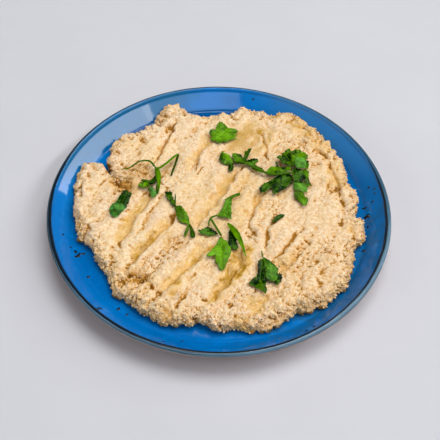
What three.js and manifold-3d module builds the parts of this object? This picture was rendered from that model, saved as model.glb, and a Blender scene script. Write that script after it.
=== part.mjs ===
// A round stoneware plate spread with hummus: a thick layer dragged into furrows by a spoon,
// with olive oil standing in the furrows and parsley leaves and sprigs lying on top.
// Millimetres, +Z up. The origin is on the table, under the centre of the plate.

import * as THREE from 'three';
import { mergeVertices } from 'three/addons/utils/BufferGeometryUtils.js';
import Module from 'manifold-3d';

const wasm = await Module();
wasm.setup();

const TAU = 2 * Math.PI;
const GAP = 0.3; // clearance between pieces that lie on each other

// ---------------------------------------------------------------- driving dimensions

// Plate
const PLATE_RADIUS = 120;
const PLATE_HEIGHT = 20;
const LIP_RADIUS = 2; // the rolled lip is a round bead
const WELL_RADIUS = 102; // edge of the flat floor
const WELL_FLOOR = 7.6; // top of the flat floor
const RIM_FOOT = { r: 104.6, z: 8.5 }; // where the sloping rim leaves the fillet
const UNDERSIDE = 3.2;
const UNDER_RIM = [{ r: 98, z: UNDERSIDE }, { r: 105, z: 4.8 }, { r: 118.4, z: 15 }];
const FOOT_OUTER = 70;
const FOOT_WIDTH = 5;
const FOOT_FLARE = 2;
const PLATE_SEGMENTS = 60;
const LIP_STEPS = 6;

// Hummus: a thick round layer
const CROWN_TOP = 18.4; // general level of the top at the centre
const CROWN_FALL = 1.6; // how much lower the top is at the crown radius
const CROWN_RADIUS = 100;
const SHOULDER = 8; // width of the rounded shoulder along the edge
const SHOULDER_POWER = 2.3;
const EDGE_WALL = 1.6; // upright wall at the very edge
const LEAST_RISE = 1; // the layer rises at least this far over that wall
const STROKE = (60 * Math.PI) / 180; // bearing along which the spoon was dragged
const FADE = { share: 0.12, rest: 0.25 }; // a furrow fades over this share of its ends, to this rest
const BERM = { offset: 1.9, width: 0.8 }; // place and width of a berm, in furrow widths
const RIPPLE = { height: 0.45, length: 2.3, bend: 1.1, bendLength: 9, phase: 0.6 };
const LUMPS = { x: 1.9, y: 2.1, bendX: 1.7, bendY: 1.9, bendXLength: 6.1, bendYLength: 5.3 };
const LUMP_HEIGHT = { inside: 0.25, edge: 0.9, from: 24, to: 4 }; // grows over these insets

// Edge of the hummus, bearing in degrees and reach in mm, at its lobes and the dips between
const EDGE = [
  [0, 95], [8, 99], [17, 97], [29, 102], [42, 104], [59, 109], [72, 100], [79, 102],
  [86, 95], [97, 91], [103, 95], [109, 107], [115, 107], [121, 97], [128, 94], [138, 100],
  [147, 97], [153, 98], [160, 108], [168, 107], [180, 102], [192, 98], [204, 93], [216, 92],
  [228, 97], [240, 96], [248, 98], [264, 92], [270, 96], [277, 95], [286, 99], [300, 97],
  [318, 103], [327, 103], [340, 98], [349, 102],
];

// Furrows of the spoon: path, half width at half depth, depth, height of the berms beside it
const FURROWS = [
  { path: [[-50, 20], [-53, 4], [-61, -13], [-70, -34]], width: 5, depth: 3.4, berm: 1.2 },
  { path: [[-31, -6], [-43, -26], [-61, -50]], width: 4, depth: 2.8, berm: 0.9 },
  { path: [[-8, 72], [-13, 58], [-18, 44], [-18, 30]], width: 4, depth: 2.8, berm: 1.0 },
  { path: [[15, 40], [4, 19], [-5, -1], [-18, -23]], width: 4, depth: 3.2, berm: 1.2 },
  { path: [[-6, -33], [-18, -47], [-31, -63], [-43, -77]], width: 4.5, depth: 3.2, berm: 1.3 },
  { path: [[31, 17], [23, 0], [20, -18], [25, -31]], width: 4, depth: 2.4, berm: 0.9 },
  { path: [[41, -8], [34, -18], [29, -36]], width: 2.4, depth: 1.8, berm: 0.8 },
  { path: [[58, -14], [47, -32], [36, -47]], width: 3.2, depth: 2.4, berm: 0.9 },
  { path: [[61, -24], [53, -41], [44, -54]], width: 3, depth: 2.0, berm: 0.6 },
  { path: [[13, -36], [12, -50], [5, -66], [-3, -80]], width: 6, depth: 3.8, berm: 1.0 },
  { path: [[70, 61], [79, 41], [84, 20], [88, 0]], width: 3.2, depth: 1.9, berm: 0.8 },
  { path: [[-36, 82], [-41, 62], [-48, 42]], width: 3, depth: 2.8, berm: 0.7 },
  { path: [[-100, 22], [-97, 5]], width: 2.2, depth: 1.4, berm: 0.3 },
];

// Hollows and torn pits: centre, radius along and across the stroke, depth
const HOLLOWS = [
  { x: 17, y: 63, along: 22, across: 15, depth: 2.8 },
  { x: 27, y: -78, along: 11, across: 12, depth: 1.8 },
  { x: -58, y: 31, along: 8, across: 9, depth: 2.6 },
  { x: -71, y: 19, along: 8, across: 10, depth: 2.4 },
  { x: -49, y: -63, along: 5, across: 10, depth: 2.6 },
  { x: -63, y: -64, along: 4, across: 6, depth: 1.8 },
  { x: -31, y: -28, along: 4, across: 6, depth: 1.8 },
  { x: -18, y: -44, along: 3.5, across: 5, depth: 1.6 },
  { x: -38, y: 34, along: 3, across: 3, depth: 1.8 },
  { x: -55, y: 63, along: 4, across: 4, depth: 1.8 },
  { x: -45, y: 86, along: 4, across: 4, depth: 1.8 },
  { x: -91, y: -20, along: 4, across: 4, depth: 1.6 },
  { x: 82, y: -12, along: 5, across: 5, depth: 2.0 },
  { x: 86, y: -19, along: 5, across: 5, depth: 1.6 },
  { x: 75, y: -37, along: 5, across: 6, depth: 1.6 },
  { x: 61, y: -29, along: 6, across: 3, depth: 1.6 },
  { x: 41, y: 88, along: 5, across: 5, depth: 1.6 },
  { x: 83, y: 21, along: 7, across: 6, depth: 1.8 },
  { x: 17, y: -91, along: 5, across: 6, depth: 3.2 },
  { x: -34, y: -84, along: 5, across: 6, depth: 2.0 },
  { x: -13, y: -85, along: 4, across: 7, depth: 1.6 },
];

// Smooth swells between the furrows
const SWELLS = [
  { x: -27, y: 12, along: 34, across: 11, height: 1.5 },
  { x: 6, y: 22, along: 26, across: 6, height: 0.9 },
  { x: 41, y: -22, along: 20, across: 5, height: 1.2 },
  { x: -94, y: 20, along: 18, across: 8, height: 1.4 },
  { x: -83, y: -22, along: 20, across: 8, height: 0.9 },
  { x: -25, y: 82, along: 14, across: 8, height: 1.2 },
  { x: 52, y: 74, along: 20, across: 9, height: 1.0 },
  { x: -50, y: -38, along: 22, across: 6, height: 0.9 },
  { x: -12, y: -64, along: 16, across: 6, height: 0.8 },
];

// Torn gap in the upper left edge: mouth and root of the gap, and its half widths there
const TEAR = { mouth: [-90, 48], root: [-79, 25], mouthHalf: 5.5, rootHalf: 1.6, rootSteps: 4 };

// Olive oil standing in furrows: path down the middle, half width searched, depth of fill
const OIL_POOLS = [
  { name: 'oil_left', path: [[-53, 4], [-58, -7], [-66, -25]], reach: 8, fill: 1.7 },
  { name: 'oil_lower_left', path: [[-38, -17], [-46, -30], [-55, -42]], reach: 7, fill: 1.5 },
  { name: 'oil_upper', path: [[-11, 64], [-14, 55], [-18, 44]], reach: 7, fill: 1.5 },
  { name: 'oil_middle', path: [[7, 24], [2, 14], [-6, -2], [-13, -14]], reach: 7, fill: 1.6 },
  { name: 'oil_lower', path: [[-13, -41], [-22, -53], [-34, -67]], reach: 8, fill: 1.8 },
  { name: 'oil_front', path: [[12, -44], [10, -55], [4, -68], [0, -75]], reach: 10, fill: 2.4 },
  { name: 'oil_back', path: [[16, 53], [17, 60], [19, 67]], reach: 15, fill: 1.6 },
];

// Parsley. Every leaf has a base and a tip, a half width, the place of its widest part,
// the count of lobes along its edge, and its lift over the hummus at the base and the tip.
// Every stalk is a path of points, each with its lift.
const LEAF_THICKNESS = 0.6;
const LEAF_ENDS = { base: 0.04, tip: 0.97, least: 0.5 }; // keeps a small width at both ends
const LEAF_FULLNESS = 0.75; // under 1 the outline is fuller than a sine's
const LOBE_DEPTH = 0.18; // of the half width
const ARCH = 0.05; // rise of the middle, of the length
const FOLD = 0.12; // rise of the edges over the midrib, of the half width
const LEAF_WAVE = { height: 0.25, along: 7, across: 3 };
const STALK_RADIUS = 0.75;
const STALK_SIDES = 6;
const POOL_CAP_STEPS = 3; // steps in each quarter of the round end of a pool's outline
const LONG_LEAF = 15; // a longer leaf has more rows in its grid
const WIDE_LEAF = 7; // a wider half leaf has more columns
const PARSLEY = [
  {
    name: 'parsley_back',
    leaves: [{ base: [3, 58.5], tip: [1, 79], half: 10.5, widest: 0.5, lobes: 4, lift: [0.3, 1.2] }],
  },
  {
    name: 'parsley_left',
    leaves: [{ base: [-66, 10], tip: [-72, -13], half: 5.4, widest: 0.62, lobes: 4, lift: [0.3, 0.8] }],
  },
  {
    name: 'parsley_mid_left',
    stalks: [[[-31, 0, 1.2], [-26, -9, 1.4], [-20.5, -18, 1.2]]],
    leaves: [
      { base: [-30, -2], tip: [-38, 10], half: 2.6, widest: 0.55, lobes: 2, lift: [1.2, 1.0] },
      { base: [-30, -2], tip: [-21, -18], half: 4, widest: 0.55, lobes: 3, lift: [1.2, 1.2] },
      { base: [-20.5, -18], tip: [-18, -30], half: 4.2, widest: 0.7, lobes: 3, lift: [1.2, 0.7] },
    ],
  },
  {
    name: 'parsley_curled',
    leaves: [
      { base: [6, -17], tip: [18, -43], half: 3.4, widest: 0.5, lobes: 3, lift: [0.6, 1.2] },
    ],
  },
  {
    name: 'parsley_fragment',
    leaves: [{ base: [45, -9], tip: [37, -15], half: 2.2, widest: 0.5, lobes: 2, lift: [0.3, 0.5] }],
  },
  {
    name: 'parsley_front',
    stalks: [[[28.5, -41, 0.6], [29.5, -47, 0.8], [30, -53, 0.8]]],
    leaves: [
      { base: [30, -47], tip: [22, -67], half: 5, widest: 0.66, lobes: 3, lift: [0.8, 0.8] },
      { base: [30, -49], tip: [32, -74], half: 5.4, widest: 0.66, lobes: 3, lift: [0.8, 0.8] },
      { base: [30, -49], tip: [43, -61], half: 6.4, widest: 0.6, lobes: 3, lift: [0.8, 1.2] },
    ],
  },
  {
    name: 'sprig_left',
    stalks: [
      [[-72, 31, 0.8], [-63, 35, 2], [-55, 37.5, 2.6], [-50, 35, 2.4], [-46.5, 32, 2.2]],
      [[-46.5, 32, 2.2], [-46, 24, 1.8], [-45, 16, 1.2], [-44.5, 9, 0.9]],
      [[-46.5, 32, 2.2], [-40, 38, 3], [-32, 44, 3.4]],
    ],
    leaves: [
      { base: [-45.5, 33], tip: [-31, 45.5], half: 2.2, widest: 0.6, lobes: 1, lift: [2.2, 3.4] },
      { base: [-32, 44], tip: [-35.5, 26], half: 1.7, widest: 0.5, lobes: 1, lift: [3.4, 1.0] },
      { base: [-45.5, 21], tip: [-58, 17], half: 4.2, widest: 0.6, lobes: 3, lift: [1.5, 1.4] },
      { base: [-45.5, 20], tip: [-48.5, 4], half: 3.4, widest: 0.55, lobes: 2, lift: [1.4, 0.8] },
    ],
  },
  {
    name: 'sprig_mid',
    stalks: [
      [[14, 9, 1.2], [8, 6, 1.6], [4, 0, 1.6], [1, -8, 1.6], [-5.5, -14.5, 1.8]],
      [[-5.5, -14.5, 1.8], [-2, -22, 1.6], [2, -30, 1.4]],
    ],
    leaves: [
      { base: [5, 1], tip: [3, -13.5], half: 5.4, widest: 0.78, lobes: 2, lift: [1.6, 1.6] },
      { base: [-5.5, -14.5], tip: [-9, -28], half: 6, widest: 0.72, lobes: 3, lift: [1.8, 0.8] },
      { base: [2, -29], tip: [2.5, -57], half: 8, widest: 0.6, lobes: 4, lift: [1.4, 0.9] },
    ],
  },
  {
    name: 'sprig_right',
    stalks: [
      [[10, 40, 2], [20, 35.5, 2.6], [32, 26, 2.2], [42, 25, 2.4], [54, 23, 2.6], [58, 12, 1.8]],
      [[42, 25, 2.4], [48, 29, 4], [54, 33, 5.6]],
    ],
    leaves: [
      { base: [12, 39.5], tip: [-1, 50], half: 5.6, widest: 0.6, lobes: 3, lift: [2, 0.9] },
      { base: [14, 38.5], tip: [6, 27], half: 6.4, widest: 0.55, lobes: 3, lift: [2.1, 0.8] },
      { base: [14, 38.5], tip: [22, 53], half: 5, widest: 0.6, lobes: 3, lift: [2.3, 3.2] },
      { base: [18, 36.5], tip: [29, 40], half: 4.4, widest: 0.6, lobes: 2, lift: [2.5, 2.4] },
      { base: [30, 27], tip: [44, 37], half: 6.4, widest: 0.6, lobes: 3, lift: [2.2, 3.6] },
      { base: [42, 26], tip: [27, 10], half: 7.4, widest: 0.6, lobes: 3, lift: [2.3, 0.9] },
      { base: [47, 26], tip: [40, 8], half: 6.4, widest: 0.6, lobes: 3, lift: [2.6, 0.9] },
      { base: [52, 31], tip: [44, 46], half: 7.6, widest: 0.6, lobes: 3, lift: [5, 5.2] },
      { base: [53, 32], tip: [60, 48], half: 7.4, widest: 0.6, lobes: 3, lift: [5.4, 6.0] },
      { base: [53, 31], tip: [65, 31], half: 7, widest: 0.6, lobes: 3, lift: [5.2, 4.2] },
      { base: [54, 23], tip: [60, 1], half: 6.8, widest: 0.6, lobes: 4, lift: [2.6, 1.0] },
      { base: [54, 25], tip: [65, 15], half: 5.6, widest: 0.55, lobes: 3, lift: [2.6, 1.6] },
    ],
  },
];

// ---------------------------------------------------------------- colours

const GLAZE = { color: 0x0a66ae, roughness: 0.22, metalness: 0 };
const HUMMUS = { color: 0xeed2a2, roughness: 0.75, metalness: 0 };
const OIL = { color: 0xd9a441, roughness: 0.08, metalness: 0 };
const LEAF_GREEN = { color: 0x2f7a1e, roughness: 0.5, metalness: 0 };

// ---------------------------------------------------------------- small helpers

const clamp = (value, low, high) => Math.min(high, Math.max(low, value));

function smooth(low, high, value) {
  const t = clamp((value - low) / (high - low), 0, 1);
  return t * t * (3 - 2 * t);
}

function meshOf(name, geometry, look) {
  const mesh = new THREE.Mesh(geometry, new THREE.MeshStandardMaterial(look));
  mesh.name = name;
  return mesh;
}

function geometryOf(points, faces) {
  const geometry = new THREE.BufferGeometry();
  geometry.setAttribute('position', new THREE.Float32BufferAttribute(points.flat(), 3));
  geometry.setIndex(faces.flat());
  return geometry;
}

function welded(geometry) {
  const bare = geometry.clone();
  bare.deleteAttribute('normal');
  bare.deleteAttribute('uv');
  return mergeVertices(bare, 1e-4);
}

function solidOf(geometry) {
  const bare = welded(geometry);
  return new wasm.Manifold(
    new wasm.Mesh({
      numProp: 3,
      vertProperties: new Float32Array(bare.attributes.position.array),
      triVerts: new Uint32Array(bare.index.array),
    }),
  );
}

function geometryOfSolid(solid) {
  const mesh = solid.getMesh();
  const geometry = new THREE.BufferGeometry();
  geometry.setAttribute('position', new THREE.BufferAttribute(mesh.vertProperties, 3));
  geometry.setIndex(new THREE.BufferAttribute(mesh.triVerts, 1));
  return geometry;
}

function largestPiece(solid) {
  const pieces = solid.decompose();
  return pieces.reduce((best, piece) => (piece.volume() > best.volume() ? piece : best));
}

// Distance from a point to a path of straight stretches, and how far along it that is, 0 to 1
function nearestOnPath(path, x, y) {
  let best = { distance: Infinity, along: 0 };
  const stretches = path.length - 1;
  for (let i = 0; i < stretches; i += 1) {
    const [ax, ay] = path[i];
    const dx = path[i + 1][0] - ax;
    const dy = path[i + 1][1] - ay;
    const t = clamp(((x - ax) * dx + (y - ay) * dy) / (dx * dx + dy * dy), 0, 1);
    const distance = Math.hypot(x - ax - t * dx, y - ay - t * dy);
    if (distance < best.distance) best = { distance, along: (i + t) / stretches };
  }
  return best;
}

// ---------------------------------------------------------------- plate

function plateProfile() {
  const centre = { r: PLATE_RADIUS - LIP_RADIUS, z: PLATE_HEIGHT - LIP_RADIUS };
  const start = -Math.PI / 4;
  const end = (5 * Math.PI) / 4;
  const lip = [];
  for (let i = 0; i <= LIP_STEPS; i += 1) {
    const angle = start + ((end - start) * i) / LIP_STEPS;
    lip.push([centre.r + LIP_RADIUS * Math.cos(angle), centre.z + LIP_RADIUS * Math.sin(angle)]);
  }
  const footInner = FOOT_OUTER - FOOT_WIDTH;
  return [
    [0, UNDERSIDE],
    [footInner - FOOT_FLARE, UNDERSIDE],
    [footInner, 0],
    [FOOT_OUTER, 0],
    [FOOT_OUTER + FOOT_FLARE, UNDERSIDE],
    ...UNDER_RIM.map((point) => [point.r, point.z]),
    ...lip,
    [RIM_FOOT.r, RIM_FOOT.z],
    [WELL_RADIUS, WELL_FLOOR],
    [0, WELL_FLOOR],
  ];
}

function plateGeometry() {
  const points = plateProfile().map(([r, z]) => new THREE.Vector2(r, z));
  const lathe = new THREE.LatheGeometry(points, PLATE_SEGMENTS);
  lathe.rotateX(Math.PI / 2);
  return welded(lathe);
}

// Height of the plate's upper face at a radius: flat floor, fillet, sloping rim
function plateSurface(radius) {
  if (radius <= WELL_RADIUS) return WELL_FLOOR;
  const fillet = (RIM_FOOT.z - WELL_FLOOR) / (RIM_FOOT.r - WELL_RADIUS);
  if (radius <= RIM_FOOT.r) return WELL_FLOOR + fillet * (radius - WELL_RADIUS);
  const lipEdge = { r: PLATE_RADIUS - 2 * LIP_RADIUS, z: PLATE_HEIGHT - LIP_RADIUS };
  const slope = (lipEdge.z - RIM_FOOT.z) / (lipEdge.r - RIM_FOOT.r);
  return RIM_FOOT.z + slope * (radius - RIM_FOOT.r);
}

// ---------------------------------------------------------------- hummus

// Reach of the hummus at a bearing in radians, eased between the two nearest edge points
function edgeReach(bearing) {
  const degrees = (((bearing * 360) / TAU) % 360 + 360) % 360;
  const next = EDGE.findIndex(([at]) => at > degrees);
  const upper = next < 0 ? [360, EDGE[0][1]] : EDGE[next];
  const lower = next < 0 ? EDGE[EDGE.length - 1] : EDGE[next - 1];
  const t = smooth(lower[0], upper[0], degrees);
  return lower[1] + (upper[1] - lower[1]) * t;
}

// A furrow: a rounded groove that fades at both ends, with a low berm on each side
function furrowRelief({ path, width, depth, berm }, x, y) {
  const { distance, along } = nearestOnPath(path, x, y);
  const inner = smooth(0, FADE.share, along) * smooth(0, FADE.share, 1 - along);
  const fade = FADE.rest + (1 - FADE.rest) * inner;
  const groove = depth * Math.exp(-((distance / width) ** 2));
  const bank = berm * Math.exp(-(((distance / width - BERM.offset) / BERM.width) ** 2));
  return (bank - groove) * fade;
}

// A round bump of unit height, stretched along the stroke
function bump({ x: cx, y: cy, along, across }, x, y) {
  const dx = x - cx;
  const dy = y - cy;
  const u = (dx * Math.cos(STROKE) + dy * Math.sin(STROKE)) / along;
  const v = (dy * Math.cos(STROKE) - dx * Math.sin(STROKE)) / across;
  return Math.exp(-(u * u + v * v));
}

// Long waves along the stroke, and lumps that grow towards the rough edge
function waves(x, y, inset) {
  const u = x * Math.cos(STROKE) + y * Math.sin(STROKE);
  const v = y * Math.cos(STROKE) - x * Math.sin(STROKE);
  const sway = RIPPLE.bend * Math.sin(u / RIPPLE.bendLength) + RIPPLE.phase;
  const ripple = RIPPLE.height * Math.sin(v / RIPPLE.length + sway);
  const lumpX = Math.sin(x / LUMPS.x + LUMPS.bendX * Math.sin(y / LUMPS.bendXLength));
  const lumpY = Math.sin(y / LUMPS.y + LUMPS.bendY * Math.sin(x / LUMPS.bendYLength));
  const nearEdge = smooth(LUMP_HEIGHT.from, LUMP_HEIGHT.to, inset);
  const height = LUMP_HEIGHT.inside + (LUMP_HEIGHT.edge - LUMP_HEIGHT.inside) * nearEdge;
  return ripple + height * lumpX * lumpY;
}

// Height of the top of the hummus over the table
function topHeight(x, y) {
  const radius = Math.hypot(x, y);
  const inset = edgeReach(Math.atan2(y, x)) - radius;
  let top = CROWN_TOP - CROWN_FALL * (radius / CROWN_RADIUS) ** 4;
  top += waves(x, y, inset);
  for (const furrow of FURROWS) top += furrowRelief(furrow, x, y);
  for (const hollow of HOLLOWS) top -= hollow.depth * bump(hollow, x, y);
  for (const swell of SWELLS) top += swell.height * bump(swell, x, y);
  const foot = plateSurface(radius) + GAP + EDGE_WALL;
  const t = clamp(inset / SHOULDER, 0, 1);
  const rounding = (1 - (1 - t) ** SHOULDER_POWER) ** (1 / SHOULDER_POWER);
  return foot + Math.max(top - foot, LEAST_RISE) * rounding;
}

// Rings of the hummus from the edge inwards: inset in mm near the edge, then even steps
const NOMINAL_REACH = 98;
const EDGE_INSETS = [0, 1.2, 3.3, 6.2, 9.6, 13.4, 17.4];
const INNER_RINGS = 16; // even steps from the centre to the innermost inset
const SPOKES = [36, 72, 144];
const SPOKE_LIMITS = [20, 44]; // nominal radii where the count of spokes doubles
const BOTTOM_SHARES = [0.3, 0.6, 0.92, 1]; // rings of the underside, as shares of the reach

// Nominal radii as shares of the reach, from the centre outwards, with their spoke counts
function hummusRings() {
  const innerEdge = NOMINAL_REACH - EDGE_INSETS[EDGE_INSETS.length - 1];
  const rings = [];
  for (let i = 1; i < INNER_RINGS; i += 1) {
    const radius = (innerEdge * i) / INNER_RINGS;
    const level = SPOKE_LIMITS.filter((limit) => radius > limit).length;
    rings.push({ share: radius / NOMINAL_REACH, spokes: SPOKES[level] });
  }
  for (const inset of [...EDGE_INSETS].reverse()) {
    rings.push({ share: (NOMINAL_REACH - inset) / NOMINAL_REACH, spokes: SPOKES[2] });
  }
  return rings;
}

// Triangles between two rings; the outer has as many points as the inner, or twice as many
function bridge(inner, outer, innerCount, outerCount, upward) {
  const faces = [];
  const add = (a, b, c) => faces.push(upward ? [a, b, c] : [a, c, b]);
  for (let i = 0; i < innerCount; i += 1) {
    const a = inner + i;
    const b = inner + ((i + 1) % innerCount);
    if (outerCount === innerCount) {
      const c = outer + i;
      const d = outer + ((i + 1) % outerCount);
      add(a, c, d);
      add(a, d, b);
    } else {
      const c = outer + 2 * i;
      const d = outer + 2 * i + 1;
      const e = outer + ((2 * i + 2) % outerCount);
      add(a, c, d);
      add(a, d, b);
      add(b, d, e);
    }
  }
  return faces;
}

function hummusGeometry() {
  const points = [];
  const faces = [];
  const addRing = (count, share, heightAt) => {
    const start = points.length;
    for (let i = 0; i < count; i += 1) {
      const bearing = (TAU * i) / count;
      const radius = share * edgeReach(bearing);
      const x = radius * Math.cos(bearing);
      const y = radius * Math.sin(bearing);
      points.push([x, y, heightAt(x, y, radius)]);
    }
    return start;
  };
  const addSheet = (rings, heightAt, upward) => {
    const centre = points.length;
    points.push([0, 0, heightAt(0, 0, 0)]);
    let previous = null;
    for (const { share, spokes } of rings) {
      const start = addRing(spokes, share, heightAt);
      if (previous) {
        faces.push(...bridge(previous.start, start, previous.spokes, spokes, upward));
      } else {
        for (let i = 0; i < spokes; i += 1) {
          const a = start + i;
          const b = start + ((i + 1) % spokes);
          faces.push(upward ? [centre, a, b] : [centre, b, a]);
        }
      }
      previous = { start, spokes };
    }
    return previous.start;
  };
  const seat = (x, y, radius) => plateSurface(radius) + GAP;
  const top = addSheet(hummusRings(), topHeight, true);
  const bottomRings = BOTTOM_SHARES.map((share, i) => ({ share, spokes: SPOKES[Math.min(i, 2)] }));
  const bottom = addSheet(bottomRings, seat, false);
  faces.push(...bridge(top, bottom, SPOKES[2], SPOKES[2], true));
  return geometryOf(points, faces);
}

// The torn gap: a tapering wedge with a round root, straight down through the layer
function tearSolid() {
  const [mx, my] = TEAR.mouth;
  const [rx, ry] = TEAR.root;
  const length = Math.hypot(rx - mx, ry - my);
  const wedge = new THREE.Shape();
  wedge.moveTo(0, -TEAR.mouthHalf);
  wedge.lineTo(length, -TEAR.rootHalf);
  wedge.absarc(length, 0, TEAR.rootHalf, -Math.PI / 2, Math.PI / 2, false);
  wedge.lineTo(0, TEAR.mouthHalf);
  const geometry = new THREE.ExtrudeGeometry(wedge, {
    depth: PLATE_HEIGHT,
    bevelEnabled: false,
    curveSegments: TEAR.rootSteps,
  });
  geometry.rotateZ(Math.atan2(ry - my, rx - mx));
  geometry.translate(mx, my, WELL_FLOOR - 1);
  return solidOf(geometry);
}

// ---------------------------------------------------------------- what the toppings lie on

const CELL = 4; // triangles are sorted into square cells of this size
const FOOTPRINT = 2.4; // a leaf clears everything this near to each of its points

// The highest point of the solids added so far, near a place seen from above
function makeGround() {
  const cells = new Map();
  const keyOf = (i, j) => i * 1000 + j;
  const add = (geometry) => {
    const index = geometry.index.array;
    const position = geometry.attributes.position;
    for (let f = 0; f < index.length; f += 3) {
      const corners = [0, 1, 2].map((k) => new THREE.Vector3().fromBufferAttribute(position, index[f + k]));
      const xs = corners.map((corner) => corner.x);
      const ys = corners.map((corner) => corner.y);
      for (let i = Math.floor(Math.min(...xs) / CELL); i <= Math.floor(Math.max(...xs) / CELL); i += 1) {
        for (let j = Math.floor(Math.min(...ys) / CELL); j <= Math.floor(Math.max(...ys) / CELL); j += 1) {
          const key = keyOf(i, j);
          if (!cells.has(key)) cells.set(key, []);
          cells.get(key).push(corners);
        }
      }
    }
  };
  const heightAt = (x, y) => {
    let best = WELL_FLOOR;
    for (const [a, b, c] of cells.get(keyOf(Math.floor(x / CELL), Math.floor(y / CELL))) ?? []) {
      const area = (b.x - a.x) * (c.y - a.y) - (c.x - a.x) * (b.y - a.y);
      if (Math.abs(area) < 1e-9) continue;
      const s = ((x - a.x) * (c.y - a.y) - (c.x - a.x) * (y - a.y)) / area;
      const t = ((b.x - a.x) * (y - a.y) - (x - a.x) * (b.y - a.y)) / area;
      if (s < 0 || t < 0 || s + t > 1) continue;
      best = Math.max(best, a.z + s * (b.z - a.z) + t * (c.z - a.z));
    }
    return best;
  };
  const highestNear = (x, y) => {
    const step = FOOTPRINT / 2;
    let best = WELL_FLOOR;
    for (let i = -2; i <= 2; i += 1) {
      for (let j = -2; j <= 2; j += 1) {
        best = Math.max(best, heightAt(x + i * step, y + j * step));
      }
    }
    return best;
  };
  return { add, highestNear };
}

// ---------------------------------------------------------------- olive oil

const SLAB_DEPTH = 5; // more than any pool's depth, less than the layer under it

// A pool: all that lies within reach of its path, over the hummus and under the oil's level
function oilSolid({ path, reach, fill }, hummus) {
  const lowest = Math.min(...path.map(([x, y]) => topHeight(x, y)));
  const level = lowest + GAP + fill;
  const outline = [];
  const ends = [path[0], path[path.length - 1]];
  const inwards = [path[1], path[path.length - 2]];
  for (let side = 0; side < 2; side += 1) {
    const [ex, ey] = ends[side];
    const outward = Math.atan2(ey - inwards[side][1], ex - inwards[side][0]);
    for (let i = -POOL_CAP_STEPS; i <= POOL_CAP_STEPS; i += 1) {
      const angle = outward + (i * Math.PI) / (2 * POOL_CAP_STEPS);
      outline.push([ex + reach * Math.cos(angle), ey + reach * Math.sin(angle)]);
    }
    const walk = side === 0 ? path.slice(1, -1) : path.slice(1, -1).reverse();
    const forward = side === 0 ? path[path.length - 1] : path[0];
    for (const [x, y] of walk) {
      const heading = Math.atan2(forward[1] - ey, forward[0] - ex) - Math.PI / 2;
      outline.push([x + reach * Math.cos(heading), y + reach * Math.sin(heading)]);
    }
  }
  const shape = new THREE.Shape(outline.map(([x, y]) => new THREE.Vector2(x, y)));
  const slab = new THREE.ExtrudeGeometry(shape, { depth: SLAB_DEPTH, bevelEnabled: false });
  slab.translate(0, 0, level - SLAB_DEPTH);
  return largestPiece(solidOf(slab).subtract(hummus.translate(0, 0, GAP)));
}

// ---------------------------------------------------------------- parsley

// Half width of a leaf along its length: narrow at the base, widest at a named place,
// pointed at the tip, and waved by its lobes
function leafWidth({ half, widest, lobes }, t) {
  const power = Math.log(0.5) / Math.log(widest);
  const body = Math.sin(Math.PI * t ** power) ** LEAF_FULLNESS;
  const lobed = 1 - LOBE_DEPTH * (1 + Math.cos(TAU * lobes * t));
  return half * body * lobed;
}

// A leaf: a grid over its length and width, folded up a little along the midrib and waved,
// laid over the ground; both faces have the same triangles
function leafSolid(leaf, ground) {
  const [bx, by] = leaf.base;
  const [tx, ty] = leaf.tip;
  const length = Math.hypot(tx - bx, ty - by);
  const along = [(tx - bx) / length, (ty - by) / length];
  const across = [-along[1], along[0]];
  const rows = length > LONG_LEAF ? 6 : 4;
  const columns = leaf.half > WIDE_LEAF ? 4 : 2;
  const points = [];
  for (let face = 0; face < 2; face += 1) {
    for (let i = 0; i <= rows; i += 1) {
      const t = i / rows;
      const width = leafWidth(leaf, clamp(t, LEAF_ENDS.base, LEAF_ENDS.tip));
      const reach = Math.max(width, LEAF_ENDS.least);
      for (let j = 0; j <= columns; j += 1) {
        const s = (2 * j) / columns - 1;
        const x = bx + along[0] * length * t + across[0] * reach * s;
        const y = by + along[1] * length * t + across[1] * reach * s;
        const lift = leaf.lift[0] + (leaf.lift[1] - leaf.lift[0]) * t;
        const arch = ARCH * length * Math.sin(Math.PI * t);
        const wave = LEAF_WAVE.height * Math.sin(LEAF_WAVE.along * t + LEAF_WAVE.across * s);
        const rise = Math.max(lift + arch + wave + FOLD * reach * s * s, 0);
        points.push([x, y, ground.highestNear(x, y) + GAP + rise + face * LEAF_THICKNESS]);
      }
    }
  }
  const stride = columns + 1;
  const upper = (rows + 1) * stride;
  const faces = [];
  for (let i = 0; i < rows; i += 1) {
    for (let j = 0; j < columns; j += 1) {
      const a = i * stride + j;
      const b = a + stride;
      faces.push([a, a + 1, b], [a + 1, b + 1, b]);
      faces.push([a + upper, b + upper, a + 1 + upper], [a + 1 + upper, b + upper, b + 1 + upper]);
    }
  }
  const wall = (a, b) => faces.push([b, a, a + upper], [b, a + upper, b + upper]);
  for (let j = 0; j < columns; j += 1) {
    wall(j, j + 1);
    wall(rows * stride + j + 1, rows * stride + j);
  }
  for (let i = 0; i < rows; i += 1) {
    wall((i + 1) * stride, i * stride);
    wall(i * stride + columns, (i + 1) * stride + columns);
  }
  return solidOf(geometryOf(points, faces));
}

function stalkSolid(path, ground) {
  const points = path.map(([x, y, lift]) => {
    const z = ground.highestNear(x, y) + GAP + lift + LEAF_THICKNESS / 2;
    return new THREE.Vector3(x, y, z);
  });
  const curve = new THREE.CatmullRomCurve3(points);
  const corners = [];
  for (let i = 0; i < STALK_SIDES; i += 1) {
    const angle = (TAU * i) / STALK_SIDES;
    corners.push(new THREE.Vector2(STALK_RADIUS * Math.cos(angle), STALK_RADIUS * Math.sin(angle)));
  }
  const options = { steps: 2 * (path.length - 1), extrudePath: curve, bevelEnabled: false };
  return solidOf(new THREE.ExtrudeGeometry(new THREE.Shape(corners), options));
}

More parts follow.
